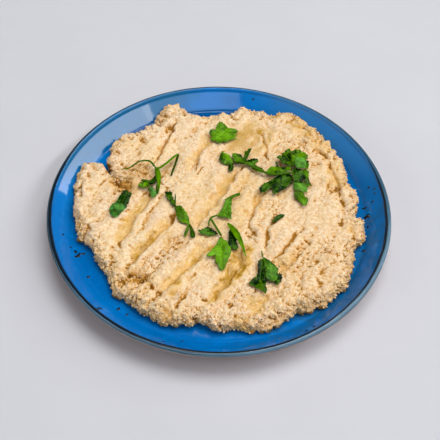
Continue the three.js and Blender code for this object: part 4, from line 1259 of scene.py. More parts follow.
POOL_STEP = 0.7
SHORE_STEP = 0.25
DEEPEST = 10
POOL_COLUMNS = 17
SHORE_TUCK = 0.6  # the oil goes this far under its bank
POOL_SINK = 0.5
RIPPLE = 0.05


def resample(path, step, ends):
    """Points at even steps along a chain that is first run on straight past both its ends."""
    chain = np.array(path, float)
    first = chain[0] + unit(chain[0] - chain[1]) * ends
    last = chain[-1] + unit(chain[-1] - chain[-2]) * ends
    chain = np.concatenate([[first], chain, [last]])
    lengths = chain_lengths(chain)
    at = np.linspace(0, lengths[-1], int(lengths[-1] / step) + 2)
    return eased(points_along(chain, lengths, at), 2, 6)


def shore(line, side, level, reach):
    """How far the oil spreads to one side of each point of its middle line: up to the first place where the
    hummus stands over the level, and a little under its bank."""
    steps = np.arange(0, reach + 1, SHORE_STEP)
    x = line[:, :1] + side[:, :1] * steps
    y = line[:, 1:] + side[:, 1:] * steps
    above = sample(calm_ground, x, y) > level
    found = np.where(above.any(axis=1), steps[np.argmax(above, axis=1)], reach)
    return eased(found, 1, 3)


def make_pool(name, path, reach, material):
    """A pool of oil: a strip across its furrow from shore to shore, level on top, whose underside lies
    hidden in the hummus."""
    level = solid_box(name)[1][2]
    line = resample(path, POOL_STEP, reach)
    tangent = unit(np.gradient(line, axis=0))
    left = np.stack([-tangent[:, 1], tangent[:, 0]], -1)
    wet = np.flatnonzero(sample(calm_ground, line[:, 0], line[:, 1]) < level)
    keep = slice(max(wet[0] - 1, 0), wet[-1] + 2)
    line = line[keep]
    left = left[keep]
    to_left = shore(line, left, level, reach) + SHORE_TUCK
    to_right = shore(line, -left, level, reach) + SHORE_TUCK
    share = np.linspace(0, 1, POOL_COLUMNS)
    offset = -to_right[:, None] + (to_left + to_right)[:, None] * share
    x = line[:, :1] + left[:, :1] * offset
    y = line[:, 1:] + left[:, 1:] * offset
    bed = sample(ground, x, y)
    depth = np.clip(level - bed, 0, DEEPEST)
    top = np.stack([x, y, level + RIPPLE * soft_noise(flat_points(x, y), 5, 81)], -1)
    under = np.stack([x, y, np.minimum(bed, level) - POOL_SINK], -1)
    quads = slab_quads(len(line), POOL_COLUMNS)
    points = np.concatenate([top.reshape(-1, 3), under.reshape(-1, 3)])
    values = {"depth": np.tile(depth.ravel(), 2)}
    return make_piece(name + "_pool", points, quads, None, values, (material,))


def oil_material():
    """Golden oil over the paste: clear where it is thin, darker where it is deep, with a wet shine."""
    material, tree, shader = new_material("olive_oil", Roughness=0.06, IOR=1.47)
    depth = tree.value_of("depth")
    colour = tree.mix(tree.ramp(depth, 0.2, 2.2), (0.85, 0.58, 0.14), (0.60, 0.36, 0.012))
    tree.feed(shader, {"Base Color": colour, "Alpha": tree.ramp(depth, 0.0, 2.6, 0.0, 0.5)})
    return material


oil = oil_material()
for pool_name, pool_path, pool_reach, _ in OIL_POOLS:
    finish_piece(make_pool(pool_name, pool_path, pool_reach, oil), "oil", pool_name)

# ---------------------------------------------------------------- crumbs

CRUMB_SEED = 7
CRUMB_COUNT = 1700
CRUMB_LEAST = 0.38
CRUMB_SPREAD = 0.55
CRUMB_LIFT = 0.25
CRUMB_CLEAR = 0.05
CRUMB_ROUGH = 0.6


def ball_mesh(rings, sides):
    """Points and faces of a unit ball: rings of points between two poles."""
    polar = np.pi * np.arange(1, rings + 1) / (rings + 1)
    turn = TAU * np.arange(sides) / sides
    x = np.sin(polar)[:, None] * np.cos(turn)
    y = np.sin(polar)[:, None] * np.sin(turn)
    z = np.repeat(np.cos(polar)[:, None], sides, axis=1)
    points = np.concatenate([np.stack([x, y, z], -1).reshape(-1, 3), [[0, 0, 1], [0, 0, -1]]])
    return points, *tube_faces(rings, sides)


def turned(points, angles):
    """Each copy of some points turned about Z and then X by its own two angles."""
    cz, sz = np.cos(angles[:, 0])[:, None], np.sin(angles[:, 0])[:, None]
    cx, sx = np.cos(angles[:, 1])[:, None], np.sin(angles[:, 1])[:, None]
    x = points[..., 0] * cz - points[..., 1] * sz
    y = points[..., 0] * sz + points[..., 1] * cz
    z = points[..., 2]
    return np.stack([x, y * cx - z * sx, y * sx + z * cx], -1)


def make_crumbs(material):
    """Loose crumbs bedded in the crumbly places: dented balls of random size and turn, set on points of the
    top that are picked by how crumbly they are, with their middles a quarter of their size over it."""
    random = np.random.default_rng(CRUMB_SEED)
    chance = (hummus_crumbly.ravel() ** 3) * np.where(hummus_inset.ravel() < 12, 3.0, 0.6)
    chance = chance * np.where(hummus_inset.ravel() < 0.02, 1.2, 1.0)
    chance = chance * np.linalg.norm(np.gradient(hummus_points, axis=0), axis=-1).ravel()
    picked = random.choice(len(chance), CRUMB_COUNT, replace=False, p=chance / chance.sum())
    middle = hummus_points.reshape(-1, 3)[picked]
    normal = hummus_normals.reshape(-1, 3)[picked]
    size = CRUMB_LEAST + CRUMB_SPREAD * random.random(CRUMB_COUNT) ** 2.5
    middle = middle + normal * (size * CRUMB_LIFT)[:, None]
    ball, quads, triangles = ball_mesh(3, 6)
    blob = np.repeat(ball[None], CRUMB_COUNT, axis=0)
    stretch = 0.75 + 0.5 * random.random((CRUMB_COUNT, 1, 3))
    blob = blob * stretch * (1 + 0.5 * (random.random((CRUMB_COUNT, len(ball), 1)) - 0.5))
    blob = turned(blob, TAU * random.random((CRUMB_COUNT, 2)))
    points = middle[:, None, :] + blob * size[:, None, None]
    everything = points.reshape(-1, 3)
    floor = plate_under(everything[:, 0], everything[:, 1]) + CRUMB_CLEAR
    everything[:, 2] = np.maximum(everything[:, 2], floor)
    # Painted shade on the lower sides of each crumb.
    low = np.clip(0.35 - (everything[:, 2] - np.repeat(middle[:, 2], len(ball))), 0, 0.7)
    wet = 0.7 * wetness(everything[:, 0], everything[:, 1])
    values = {"painted_crevice_shade": low, "oil": wet, "rough": np.full(len(everything), CRUMB_ROUGH)}
    quads = copied(quads, CRUMB_COUNT, len(ball))
    triangles = copied(triangles, CRUMB_COUNT, len(ball))
    return make_piece("hummus_crumbs", everything, quads, triangles, values, (material,))


finish_piece(make_crumbs(hummus_paste), "hummus")

# ---------------------------------------------------------------- parsley

LEAF_THICKNESS = 0.35
STALK_SIDES = 10
STALK_LOOK = {"across": 0.6, "along": 0.0, "tone_and_painted_light": 0.16, "cool": 0.1}
LEAF_CLEAR = 0.1
LEAF_WAVE = 0.6
LEAF_PUCKER = 0.26
LEAF_TOOTH = 0.75
TOOTH_STEP = 2.7  # from tooth to tooth along the rim
VEIN_STEP = 2.6  # from side vein to side vein along the midrib
BLADE_TOOTH = 0.16  # share of the half width
BLADE_TOOTH_STEP = 2.6
BLADE_VEIN_STEP = 5.2
BLADE_CUP = 0.32
BLADE_GROOVE = 0.16
LINE_STEPS = 10  # points from one given point of a line to the next
LEAF_ROWS = 9
LEAF_COLUMNS = 144
BLADE_COLUMNS = 9

# Every stalk: points (x, y, lift) and the radius at each end. Every flat leaf: middle, outline, ends of its
# midrib, (lift of middle, lift of rim, rise per mm from the midrib), tone, coolness. Every blade: points
# (x, y, lift), half widths along it, tilt in degrees, tone, coolness. Tone runs from 0, dark, to 1, pale; it
# is partly each leaf's own green and partly painted light and shade, dark for leaves in shadow and pale for
# leaves in the light or in sheen. Coolness runs from 0, yellow green, to 1, blue green.
PARSLEY = {
    "parsley_back": {
        "leaves": [
            ((0.6, 68.4), ((-1.6, 79), (0.2, 79.2), (3, 78.2), (5, 76), (7.6, 74.8), (11, 73.6), (13.2, 72),
             (12.6, 71.2), (10.2, 71.4), (12.4, 69.4), (12, 68), (9.8, 68), (10.6, 66.6), (12.4, 64.2),
             (10, 64.4), (8, 62.8), (6, 61.4), (4, 59.6), (2.6, 58.8), (1.2, 60.6), (0.6, 58.2), (-1, 57.6),
             (-3, 58.4), (-3.7, 60.4), (-5, 59.4), (-7, 60.8), (-7.8, 63), (-7, 65.4), (-8.6, 68.4),
             (-8.2, 71.4), (-6.6, 72.6), (-4.6, 71.4), (-4.2, 73), (-3.2, 76)), ((-7, 70), (9, 67)),
             (1.0, 1.3, 0.05), 0.62, 0.15),
        ],
    },
    "parsley_left": {
        "leaves": [
            ((-70.5, -5.6), ((-71.6, 2), (-67, 2.4), (-63.4, -0.6), (-65, -6), (-67.6, -9), (-69, -12),
             (-70.6, -14.2), (-73, -13.6), (-75, -11.6), (-76, -8.6), (-76.4, -5), (-75, -2), (-72.6, -0.4)),
             ((-68, 4), (-72, -13)), (0.9, 0.6, 0.04), 0.56, 1.0),
            ((-66.6, 3.6), ((-66.4, 10.4), (-64.6, 10.6), (-63.4, 8.6), (-61.4, 8), (-62.6, 5), (-62.8, 2),
             (-63.6, -2), (-66, -3.4), (-69.4, -1.6), (-71.4, 1.6), (-71, 4), (-69.6, 6.6), (-67.8, 9)),
             ((-65, 10), (-68, -2)), (1.2, 1.0, 0.05), 0.30, 0.65),
        ],
    },
    "parsley_mid_left": {
        "stalks": [
            ((-30.7, -2.6, 1.2), (-30.4, -3.6, 1.3), 0.6, 0.6),
        ],
        "leaves": [
            ((-34, 2.6), ((-30.3, -3), (-31, 1), (-31.8, 2), (-32.4, 4.4), (-33, 5), (-33.6, 8.2),
             (-35.2, 10.2), (-36, 8.6), (-36.6, 10.2), (-37.6, 8.8), (-38.6, 10.2), (-38.1, 7.4),
             (-37.9, 5.4), (-36.6, 4.2), (-36.2, 1.8), (-35, 1), (-33.6, -1.6), (-31.6, -3.8)), ((-30.6, -3),
             (-37, 9.6)), (1.5, 1.2, 0.16), 0.26, 0.15),
            ((-25.6, -10.6), ((-30.6, -3), (-28.6, -2.2), (-26, -3.2), (-25.2, -5.4), (-23.6, -7.6),
             (-22, -10), (-20.8, -13), (-20.1, -16.4), (-20.4, -18.8), (-22.4, -17.9), (-24.6, -17.8),
             (-26.6, -17), (-28.4, -14.6), (-29.6, -11.6), (-29.8, -8), (-30.8, -5)), ((-30.4, -3.4),
             (-20.6, -18)), (1.5, 1.2, 0.10), 0.78, 0.1),
        ],
        "blades": [
            (((-30.7, -3, 1.3), (-30.9, 2, 1.9), (-31.1, 6.4, 2.0)), (0.4, 0.6, 0.2), 50, 0.3, 0.1),
            (((-20.3, -18, 1.3), (-21.5, -23, 1.4), (-23.2, -28.4, 0.8)),
             (0.5, 0.7, 0.8, 0.9, 0.6), 20, 0.35, 0.1),
            (((-20.3, -18, 1.3), (-18.3, -24, 1.4), (-17.2, -30, 0.8)),
             (0.4, 0.8, 1.1, 1.7, 1.3), -10, 0.15, 0.2),
        ],
    },
    "parsley_curled": {
        "leaves": [
            ((9.6, -31.6), ((7.4, -22), (8.2, -20.6), (10, -25), (11.6, -29.6), (12.6, -33.6), (13.6, -36.6),
             (12.2, -38.8), (9.4, -38.6), (7.4, -36.6), (6.2, -33.4), (6.8, -29), (7, -25)), ((7.6, -21),
             (11, -38)), (0.5, 0.5, 0.10), 0.0, 0.35),
        ],
        "blades": [
            (((5.9, -16.6, 1.0), (8.8, -21.6, 2.6), (12.6, -28.8, 3.0), (16, -36, 2.4), (18.2, -44, 0.8)),
             (0.5, 1.2, 1.9, 2.1, 1.5, 0.7, 0.3), -34, 0.80, 0.0),
        ],
    },
    "parsley_fragment": {
        "blades": [
            (((45, -8.4, 0.4), (41, -11.4, 0.6), (36.6, -15.4, 0.5)),
             (0.6, 1.4, 1.7, 1.3, 0.3), 12, 0.12, 0.1),
        ],
    },
    "parsley_front": {
        "stalks": [
            ((29, -40.6, 0.9), (29.1, -42.6, 1.1), (29.6, -45.6, 1.2), 0.40, 0.6),
        ],
        "leaves": [
            ((27.9, -59.6), ((30, -46), (27, -47.8), (26.4, -50), (26.6, -53), (26.4, -57), (25.2, -60.3),
             (22.6, -62.6), (20.7, -64.6), (20.4, -66.1), (23.4, -67.6), (26.4, -69.8), (29.6, -72.2),
             (31.5, -73.9), (32, -71), (31.2, -67.2), (32, -64.6), (31.8, -60), (30.9, -54), (30.6, -49)),
             ((29.8, -46), (27.4, -64)), (1.1, 1.0, 0.12), 0.30, 0.1),
            ((39.4, -61.8), ((40.4, -57.2), (42.1, -58.4), (42.4, -61), (41.2, -64), (39.4, -66.4),
             (37, -66), (37.6, -63.4), (39.2, -60.6)), ((38, -56), (39, -66)), (1.4, 1.4, 0.0), 0.04, 0.4),
            ((35, -56.6), ((29.6, -45.4), (31, -46.4), (34, -48.5), (37, -51.2), (39.7, -54.6),
             (39.9, -56.8), (38.7, -58.2), (40.2, -58.6), (39.2, -62), (37.2, -64.2), (34.6, -64.4),
             (32.4, -63.4), (31.6, -62), (31.1, -57), (30.4, -51)), ((29.8, -46), (37.4, -63.4)),
             (2.3, 2.0, 0.10), 0.50, 0.55),
        ],
    },
    "sprig_left": {
        "stalks": [
            ((-71.6, 30.2, 0.5), (-66, 30.7, 1.5), (-62, 33.2, 2.2), (-57.8, 35.4, 2.7), (-53.6, 37, 2.9),
             (-50.4, 36, 2.7), (-46.8, 31.4, 2.3), 0.34, 0.80),
            ((-46.4, 31.4, 2.3), (-45.6, 25, 1.9), (-44.8, 19, 1.4), 0.9, 0.6),
        ],
        "leaves": [
            ((-49.4, 18.8), ((-46.2, 24.4), (-47.6, 21.2), (-50.6, 20.6), (-53.2, 21.8), (-55.8, 20.8),
             (-55.8, 19.4), (-53.6, 18.4), (-51.6, 15.4), (-47.4, 15), (-45.4, 17.4), (-44.6, 21)),
             ((-45.6, 22), (-55, 20)), (1.9, 1.6, 0.08), 0.16, 0.2),
            ((-53.2, 15.6), ((-49.6, 17.8), (-53.2, 18.6), (-56.6, 17.2), (-58, 15.4), (-57.6, 13.6),
             (-54.6, 13.1), (-51.6, 13.4), (-49.4, 15)), ((-49, 17), (-57.6, 14.8)),
             (2.2, 2.0, 0.06), 0.55, 0.0),
            ((-47.6, 9.6), ((-51, 13.6), (-48.4, 14.2), (-46, 11), (-44.2, 8.4), (-44.6, 6), (-46.4, 3.8),
             (-47.8, 5.4), (-49, 9), (-50.6, 12)), ((-50.4, 13.4), (-45.6, 4.6)), (1.1, 1.0, 0.0), 0.55, 1.0),
        ],
        "blades": [
            (((-47.2, 30.4, 2.4), (-43.4, 31, 2.6), (-39, 35.2, 3.0), (-33.9, 41.2, 3.4),
             (-30.8, 44.2, 3.5)), (1.2, 1.5, 1.1, 1.1, 1.2, 0.9), 24, 0.62, 0.0),
            (((-30.6, 44, 3.5), (-31.6, 38, 2.8), (-33.4, 31.4, 1.8), (-35, 25.4, 0.9)),
             (0.9, 1.3, 1.0, 1.1, 0.9, 0.6), -42, 0.16, 0.0),
            (((-45.4, 31, 2.4), (-43.7, 24, 2.2), (-43.2, 16, 1.8), (-43.5, 8, 1.0)),
             (1.1, 1.5, 1.4, 1.1, 0.9, 0.5), 10, 0.60, 0.0),
            (((-44.3, 17, 1.2), (-44.1, 12, 1.1), (-43.9, 7.2, 0.8)), (0.5, 0.9, 0.9, 0.4), -30, 0.05, 0.2),
        ],
    },
    "sprig_mid": {
        "stalks": [
            ((-1, -11, 1.7), (-3.4, -12.6, 1.8), (-6, -14.2, 1.9), 0.5, 0.7),
            ((-6, -14.4, 1.9), (-2.2, -21, 1.7), (2, -29, 1.5), 0.75, 0.85),
            ((-6, -14.6, 1.9), (-6.8, -17.4, 1.7), (-7, -20.4, 1.5), 0.6, 0.45),
        ],
        "leaves": [
            ((5.4, -6.4), ((4, 2.4), (6.4, 4.4), (8.4, 5.6), (8.7, 2), (8.3, -4), (8.6, -9), (8.4, -13.9),
             (4.4, -12.6), (0.6, -11.8), (-1.5, -11), (0.2, -8.4), (2, -5.2), (3.4, -2)), ((-1, -11),
             (7.6, 2)), (1.9, 1.7, 0.07), 0.66, 0.35),
            ((-6.8, -24.2), ((-6.8, -19.8), (-4, -22.4), (-1.2, -25), (-0.4, -26.8), (-3, -27.2),
             (-6, -27.7), (-9.4, -26.6), (-11.6, -26.5), (-14.5, -24.3), (-12, -23.2), (-9.6, -21.6),
             (-7.8, -20.1)), ((-7, -20), (-6.6, -27)), (1.4, 1.0, 0.10), 0.16, 0.45),
            ((2, -42.6), ((1.9, -28.4), (3, -30.2), (4.8, -31.4), (5.8, -33), (6.6, -35.6), (8.3, -38.4),
             (8.6, -42), (7.8, -45.8), (6.2, -49.4), (4.8, -53), (4.4, -55.4), (2.4, -56.8), (1, -55.4),
             (0.2, -52.6), (-1.4, -50), (-2.2, -46.6), (-1.8, -44), (-4.2, -45.8), (-7.6, -47),
             (-7.6, -45.6), (-5.8, -43), (-4, -40), (-1.8, -36), (-0.2, -32), (0.8, -29.6)), ((1.9, -29),
             (2.8, -56)), (1.7, 1.4, 0.09), 0.92, 0.2),
        ],
        "blades": [
            (((14.6, 8.8, 1.4), (11.4, 7.9, 1.9), (8.6, 5.6, 2.1), (5.8, 2.4, 2.1)),
             (0.9, 1.0, 0.9, 1.1, 1.4), 30, 0.36, 0.1),
        ],
    },
    "sprig_right": {
        "stalks": [
            ((10.4, 39.2, 1.8), (16.6, 38, 2.1), (24, 34, 2.1), (31, 29, 2.2), (38, 26.6, 2.4),
             (52, 28.4, 3.2), 0.7, 0.9),
            ((52, 30.4, 3.2), (52.4, 26, 3.0), (53, 21, 2.2), 0.8, 0.5),
        ],
        "leaves": [
            ((3.9, 42.6), ((1.6, 50.6), (2.6, 48.6), (4.6, 48.1), (6.8, 46.4), (7.6, 44.2), (8.6, 42.6),
             (9.4, 40.4), (9.5, 38.2), (8.4, 37), (5.6, 37), (2.6, 37.6), (0.5, 39.2), (-0.9, 42),
             (-0.6, 45), (0, 47.6), (0.9, 49.6)), ((9.4, 38.4), (1.8, 48.6)), (2.2, 1.6, -0.10), 0.48, 0.1),
            ((7.6, 35), ((9.6, 38.6), (6.6, 38), (5.8, 35), (6, 32), (7.6, 31), (9.2, 32.2), (10, 35)),
             ((9, 38), (7, 31.6)), (0.9, 0.8, 0.0), 0.06, 0.5),
            ((13, 43), ((8.6, 47.7), (10.6, 48.4), (14.6, 48), (15.6, 46), (16.4, 43.4), (19, 41.4),
             (19.2, 38.6), (17, 37), (14.4, 38), (11.6, 38.6), (9.6, 41), (8.6, 44.4)), ((16, 38.4),
             (10, 47.6)), (2.7, 2.4, 0.10), 0.26, 0.15),
            ((23.4, 37.4), ((17, 38.8), (18.8, 40.2), (21, 41), (24, 41.8), (27.2, 41.6), (27.8, 39.8),
             (26.6, 38.4), (25.6, 36.8), (27, 35.2), (29, 33.4), (32, 30), (29.6, 28.8), (26.6, 29.8),
             (24.2, 32.4), (22, 34.8), (19.6, 36.2), (17, 36.6)), ((17, 37.6), (27, 33)),
             (2.9, 2.6, 0.08), 0.24, 0.3),
            ((41.6, 36.8), ((40.3, 40), (41.2, 39.4), (42.4, 36.4), (43.4, 33.6), (41, 33.4), (40.4, 36.6)),
             ((42.6, 34), (40.4, 39.6)), (2.0, 1.8, 0.0), 0.0, 0.2),
            ((42, 31.4), ((34.4, 31.6), (36.4, 34), (40, 35), (43.4, 34.6), (47, 34.6), (50.6, 34.6),
             (51.2, 31.6), (48, 30), (45.6, 29.2), (43, 27.8), (40, 27), (36.6, 28), (32.6, 28.8)),
             ((51, 31), (35, 31)), (3.6, 3.1, -0.07), 0.42, 0.0),
            ((49.2, 42.2), ((53, 34.4), (49.6, 35), (46.6, 36.6), (44.2, 38), (43.6, 40.2), (41.1, 42),
             (42.2, 44.4), (44.8, 44.2), (44.9, 47.2), (46.2, 47.4), (47.6, 49.4), (49.6, 51.4),
             (51.4, 50.9), (51.2, 47.4), (53.4, 43), (55, 38)), ((53, 35), (47, 47)),
             (3.5, 3.4, 0.08), 0.22, 0.1),
            ((56.8, 44.2), ((52.8, 34.8), (50.6, 40), (51, 46.6), (53.4, 49.6), (56, 50.6), (58.9, 50.3),
             (59.3, 48.2), (61.8, 47.4), (64, 44.6), (63.4, 42), (60.6, 39), (57, 38), (55, 35)), ((53, 35),
             (59, 48)), (4.2, 4.0, 0.08), 0.36, 0.0),
            ((62.9, 37.4), ((61.4, 41.6), (64.2, 40.8), (64.4, 37), (63.6, 33.2), (61.2, 32.4), (61.6, 37)),
             ((62.6, 41), (62.4, 33)), (3.6, 3.4, 0.0), 0.14, 0.1),
            ((42.4, 19.6), ((52, 27.6), (48, 29), (46, 27.6), (43, 26.6), (40, 25), (37.8, 23.2), (35.6, 22),
             (34.2, 20.8), (31.8, 19.8), (30.2, 17.8), (28.5, 15.4), (28.2, 12.8), (29.6, 11), (31.5, 10.4),
             (31.9, 13), (33.2, 15), (35.6, 14.8), (37.5, 14.2), (37.9, 11.4), (37.3, 9.4), (39.4, 8.6),
             (41.1, 10.2), (43, 12), (46, 14), (48.6, 16.4), (50.8, 19.4), (52, 23)), ((51.6, 26), (30, 15)),
             (2.6, 1.6, 0.10), 0.18, 0.40),
            ((61.6, 25.6), ((59.2, 32.8), (62.4, 33), (64.2, 31), (63.8, 28), (63.5, 24), (64.6, 20.6),
             (65.4, 18.4), (62.4, 17.4), (61, 20), (59.6, 24), (58.8, 28)), ((61, 32), (63, 19)),
             (3.0, 2.4, -0.08), 0.26, 0.05),
            ((57, 16.4), ((52.6, 20.6), (55, 21.4), (58.6, 21), (61.4, 20.2), (62.3, 16), (62, 12.2),
             (59, 12.2), (56, 12.4), (53.2, 12), (52.2, 15), (52.4, 18)), ((57, 21), (57.4, 12.4)),
             (2.9, 2.4, -0.05), 0.80, 0.60),
            ((56, 26), ((52.4, 32), (55, 33), (57.8, 32), (59.6, 28), (59.8, 24), (59, 20.4), (56, 19.6),
             (52.8, 20), (51.8, 24), (51.8, 28)), ((54, 32), (56.6, 20)), (3.5, 3.2, 0.10), 0.18, 0.50),
            ((57.4, 6.4), ((52.8, 12), (56, 12.4), (59.6, 12), (60.2, 8.6), (62.2, 6), (62.2, 3.4),
             (61, 1.2), (59.4, -0.2), (57.4, 2.2), (54.6, 5.2), (52.9, 7.2), (52.5, 9.6)), ((53.4, 10.6),
             (61, 3)), (1.9, 1.3, 0.07), 0.72, 0.10),
            ((57.8, 37), ((54.4, 41.6), (57.6, 42.6), (61, 42.2), (62.5, 39.6), (62.1, 36), (61, 32.8),
             (57.4, 31.8), (54.4, 32.2), (53.6, 36), (54, 39)), ((56, 32), (59.6, 42)),
             (5.4, 4.8, -0.05), 1.0, 0.8),
        ],
        "blades": [
            (((17.6, 40.4, 2.6), (18.9, 44, 3.2), (20.2, 49, 3.8)), (1.2, 1.5, 1.7, 2.0, 2.4), 22, 0.22, 0.1),
            (((20, 48, 3.8), (21.2, 50.4, 4.0), (22.6, 51.6, 4.0)), (0.9, 1.1, 0.5), 10, 0.16, 0.1),
        ],
    },
}


def leaf_solid(upper, across, along, tone_and_painted_light, cool):
    """A closed leaf: its upper surface, a copy set back along its normals, and a strip round the edge."""
    normal = grid_normals(upper)
    if np.mean(normal[..., 2]) < 0:
        upper, across, along = upper[:, ::-1], across[:, ::-1], along[:, ::-1]
        normal = grid_normals(upper)
    points = np.concatenate([upper.reshape(-1, 3), (upper - normal * LEAF_THICKNESS).reshape(-1, 3)])
    values = {
        "across": np.tile(across.ravel(), 2),
        "along": np.tile(along.ravel(), 2),
        "tone_and_painted_light": np.full(len(points), tone_and_painted_light),
        "cool": np.full(len(points), cool),
    }
    return points, slab_quads(*upper.shape[:2]), np.zeros((0, 3), int), values


def leaf_rim(outline):
    """The closed outline of a leaf at even steps, anticlockwise, softened a little, with fine teeth: one
    minus the size of a sine of the length, pushed away from the outline."""
    corners = np.array(outline, float)
    after = np.roll(corners, -1, axis=0)
    if np.sum(corners[:, 0] * after[:, 1] - corners[:, 1] * after[:, 0]) < 0:
        corners = corners[::-1]
    chain = np.concatenate([corners, corners[:1]])
    lengths = chain_lengths(chain)
    at = np.linspace(0, lengths[-1], LEAF_COLUMNS, endpoint=False)
    rim = points_along(chain, lengths, at)
    rim = (np.roll(rim, 1, axis=0) + 6 * rim + np.roll(rim, -1, axis=0)) / 8
    tooth = 1 - np.abs(np.sin(np.pi * at / TOOTH_STEP + 1.3 * np.sin(at / 3.1)))
    size = LEAF_TOOTH * (0.6 + 0.6 * soft_noise(flat_points(rim[:, 0], rim[:, 1]), 4.0, 106))
    return rim + outward_of(rim) * (size * (tooth - 0.4))[:, None]


def flat_leaf(leaf, bed):
    """A leaf cut along its outline: rings drawn from its middle to its rim. It is folded along its midrib
    by the distance from it, puckered between its side veins, gently waved, and draped on its bed."""
    middle, outline, (root, tip), (lift_middle, lift_rim, fold), tone_and_painted_light, cool = leaf
    rim = leaf_rim(outline)
    t = np.linspace(0, 1, LEAF_ROWS + 1)[:, None]
    x = middle[0] + t * (rim[:, 0] - middle[0])
    y = middle[1] + t * (rim[:, 1] - middle[1])
    aside, part = nearest_on_path((root, tip), x, y)
    along = (part * math.dist(root, tip) + 0.7 * np.abs(aside)) / VEIN_STEP
    flat = flat_points(x, y)
    lift = lift_middle + (lift_rim - lift_middle) * t * t + fold * np.abs(aside)
    lift = lift + LEAF_WAVE * soft_noise(flat, 5, 101)
    pucker = LEAF_PUCKER * np.cos(TAU * along) * np.clip(np.abs(aside) / 2, 0, 1)
    groove = 0.2 * np.exp(-((aside / 0.5) ** 2))
    z = np.maximum(lift, 0.15) + pucker - groove + sample(bed, x, y) + GAP
    upper = np.stack([x, y, z], -1)
    wrapped = np.concatenate([upper[:, -1:], upper, upper[:, :1]], axis=1)
    normal = grid_normals(wrapped)[:, 1:-1]
    normal[0] = (0, 0, 1)
    under = upper - normal * LEAF_THICKNESS
    count = LEAF_ROWS * LEAF_COLUMNS
    points = np.concatenate([upper[1:].reshape(-1, 3), under[1:].reshape(-1, 3), upper[0, :1], under[0, :1]])
    grid = grid_quads(LEAF_ROWS, LEAF_COLUMNS, closed=True)
    edge = np.arange(count - LEAF_COLUMNS, count)
    quads = np.concatenate([grid, grid[:, ::-1] + count, strip(edge, edge + count)])
    fans = [fan(2 * count, 0, LEAF_COLUMNS), fan(2 * count + 1, count, LEAF_COLUMNS, reverse=True)]
    # Painted light and shade: the torn facets lighten and darken the leaf as lit and shaded folds would;
    # noise varies it at random, and it is darker towards the root.
    facets = 2 * torn(flat, 4.6, 105, 0.10) - 1
    tones_and_painted_light = tone_and_painted_light + 0.22 * facets + 0.26 * soft_noise(flat, 4.2, 103) + 0.10 * soft_noise(flat, 1.6, 104)
    tones_and_painted_light = np.clip(tones_and_painted_light - 0.25 * smooth_step(0.4, 0.0, part), 0, 1)
    values = {
        "across": leaf_value(np.clip(aside / 3.2, -1, 1)),
        "along": leaf_value(along),
        "tone_and_painted_light": leaf_value(tones_and_painted_light),
        "cool": leaf_value(np.full_like(x, cool)),
    }
    return points, quads, np.concatenate(fans), values


def leaf_value(grid):
    """A value of both faces of a flat leaf, in the order of its points."""
    return np.concatenate([grid[1:].ravel(), grid[1:].ravel(), grid[0, :1], grid[0, :1]])


def curve_through(path, steps):
    """Points on the Catmull-Rom curve through a chain of points, with the ends run on straight."""
    chain = np.array(path, float)
    chain = np.concatenate([[2 * chain[0] - chain[1]], chain, [2 * chain[-1] - chain[-2]]])
    t = np.linspace(0, 1, steps, endpoint=False)[:, None]
    parts = []
    for p0, p1, p2, p3 in zip(chain, chain[1:], chain[2:], chain[3:]):
        bend = (2 * p0 - 5 * p1 + 4 * p2 - p3) * t**2 + (3 * p1 - p0 - 3 * p2 + p3) * t**3
        parts.append((2 * p1 + (p2 - p0) * t + bend) / 2)
    return np.concatenate(parts + [chain[-2:-1]])


def laid_line(path, bed, rise):
    """A smooth line through points given as x, y and lift over what is under them."""
    chain = np.array(path, float)
    chain[:, 2] += sample(bed, chain[:, 0], chain[:, 1]) + GAP + rise
    return curve_through(chain, LINE_STEPS)


def line_frame(line):
    """Level side and upward unit vectors at each point of a line."""
    tangent = unit(np.gradient(line, axis=0))
    side = unit(np.cross(tangent, [0, 0, 1.0]))
    return side, np.cross(side, tangent)


def blade_leaf(blade, bed):
    """A narrow leaf carried along a line: its half width follows the widths given, with small teeth; it is
    tilted about the line, cupped by the square of the distance from its midrib, and kept above its bed."""
    path, widths, tilt, tone_and_painted_light, cool = blade
    line = laid_line(path, bed, 0)
    side, up = line_frame(line)
    share = np.linspace(0, 1, len(line))
    half = np.interp(share, np.linspace(0, 1, len(widths)), widths)
    half = eased(half, 2, 1)
    length = np.sum(np.linalg.norm(np.diff(line, axis=0), axis=1))
    tooth = 1 - np.abs(np.sin(np.pi * share * length / BLADE_TOOTH_STEP))
    half = half * (1 + BLADE_TOOTH * (tooth - 0.5))
    angle = math.radians(tilt)
    leaning = math.cos(angle) * side + math.sin(angle) * up
    facing = math.cos(angle) * up - math.sin(angle) * side
    s = np.linspace(-1, 1, BLADE_COLUMNS)[None, :, None]
    width = half[:, None, None]
    cup = BLADE_CUP * width * s**2 - BLADE_GROOVE * np.exp(-((s / 0.16) ** 2))
    upper = line[:, None] + leaning[:, None] * width * s + facing[:, None] * cup
    rest = sample(bed, upper[..., 0], upper[..., 1]) + LEAF_THICKNESS + LEAF_CLEAR
    upper[..., 2] = np.maximum(upper[..., 2], rest)
    shape = upper.shape[:2]
    along = np.broadcast_to((share * length / BLADE_VEIN_STEP)[:, None], shape)
    return leaf_solid(upper, np.broadcast_to(s[..., 0], shape), along, tone_and_painted_light, cool)


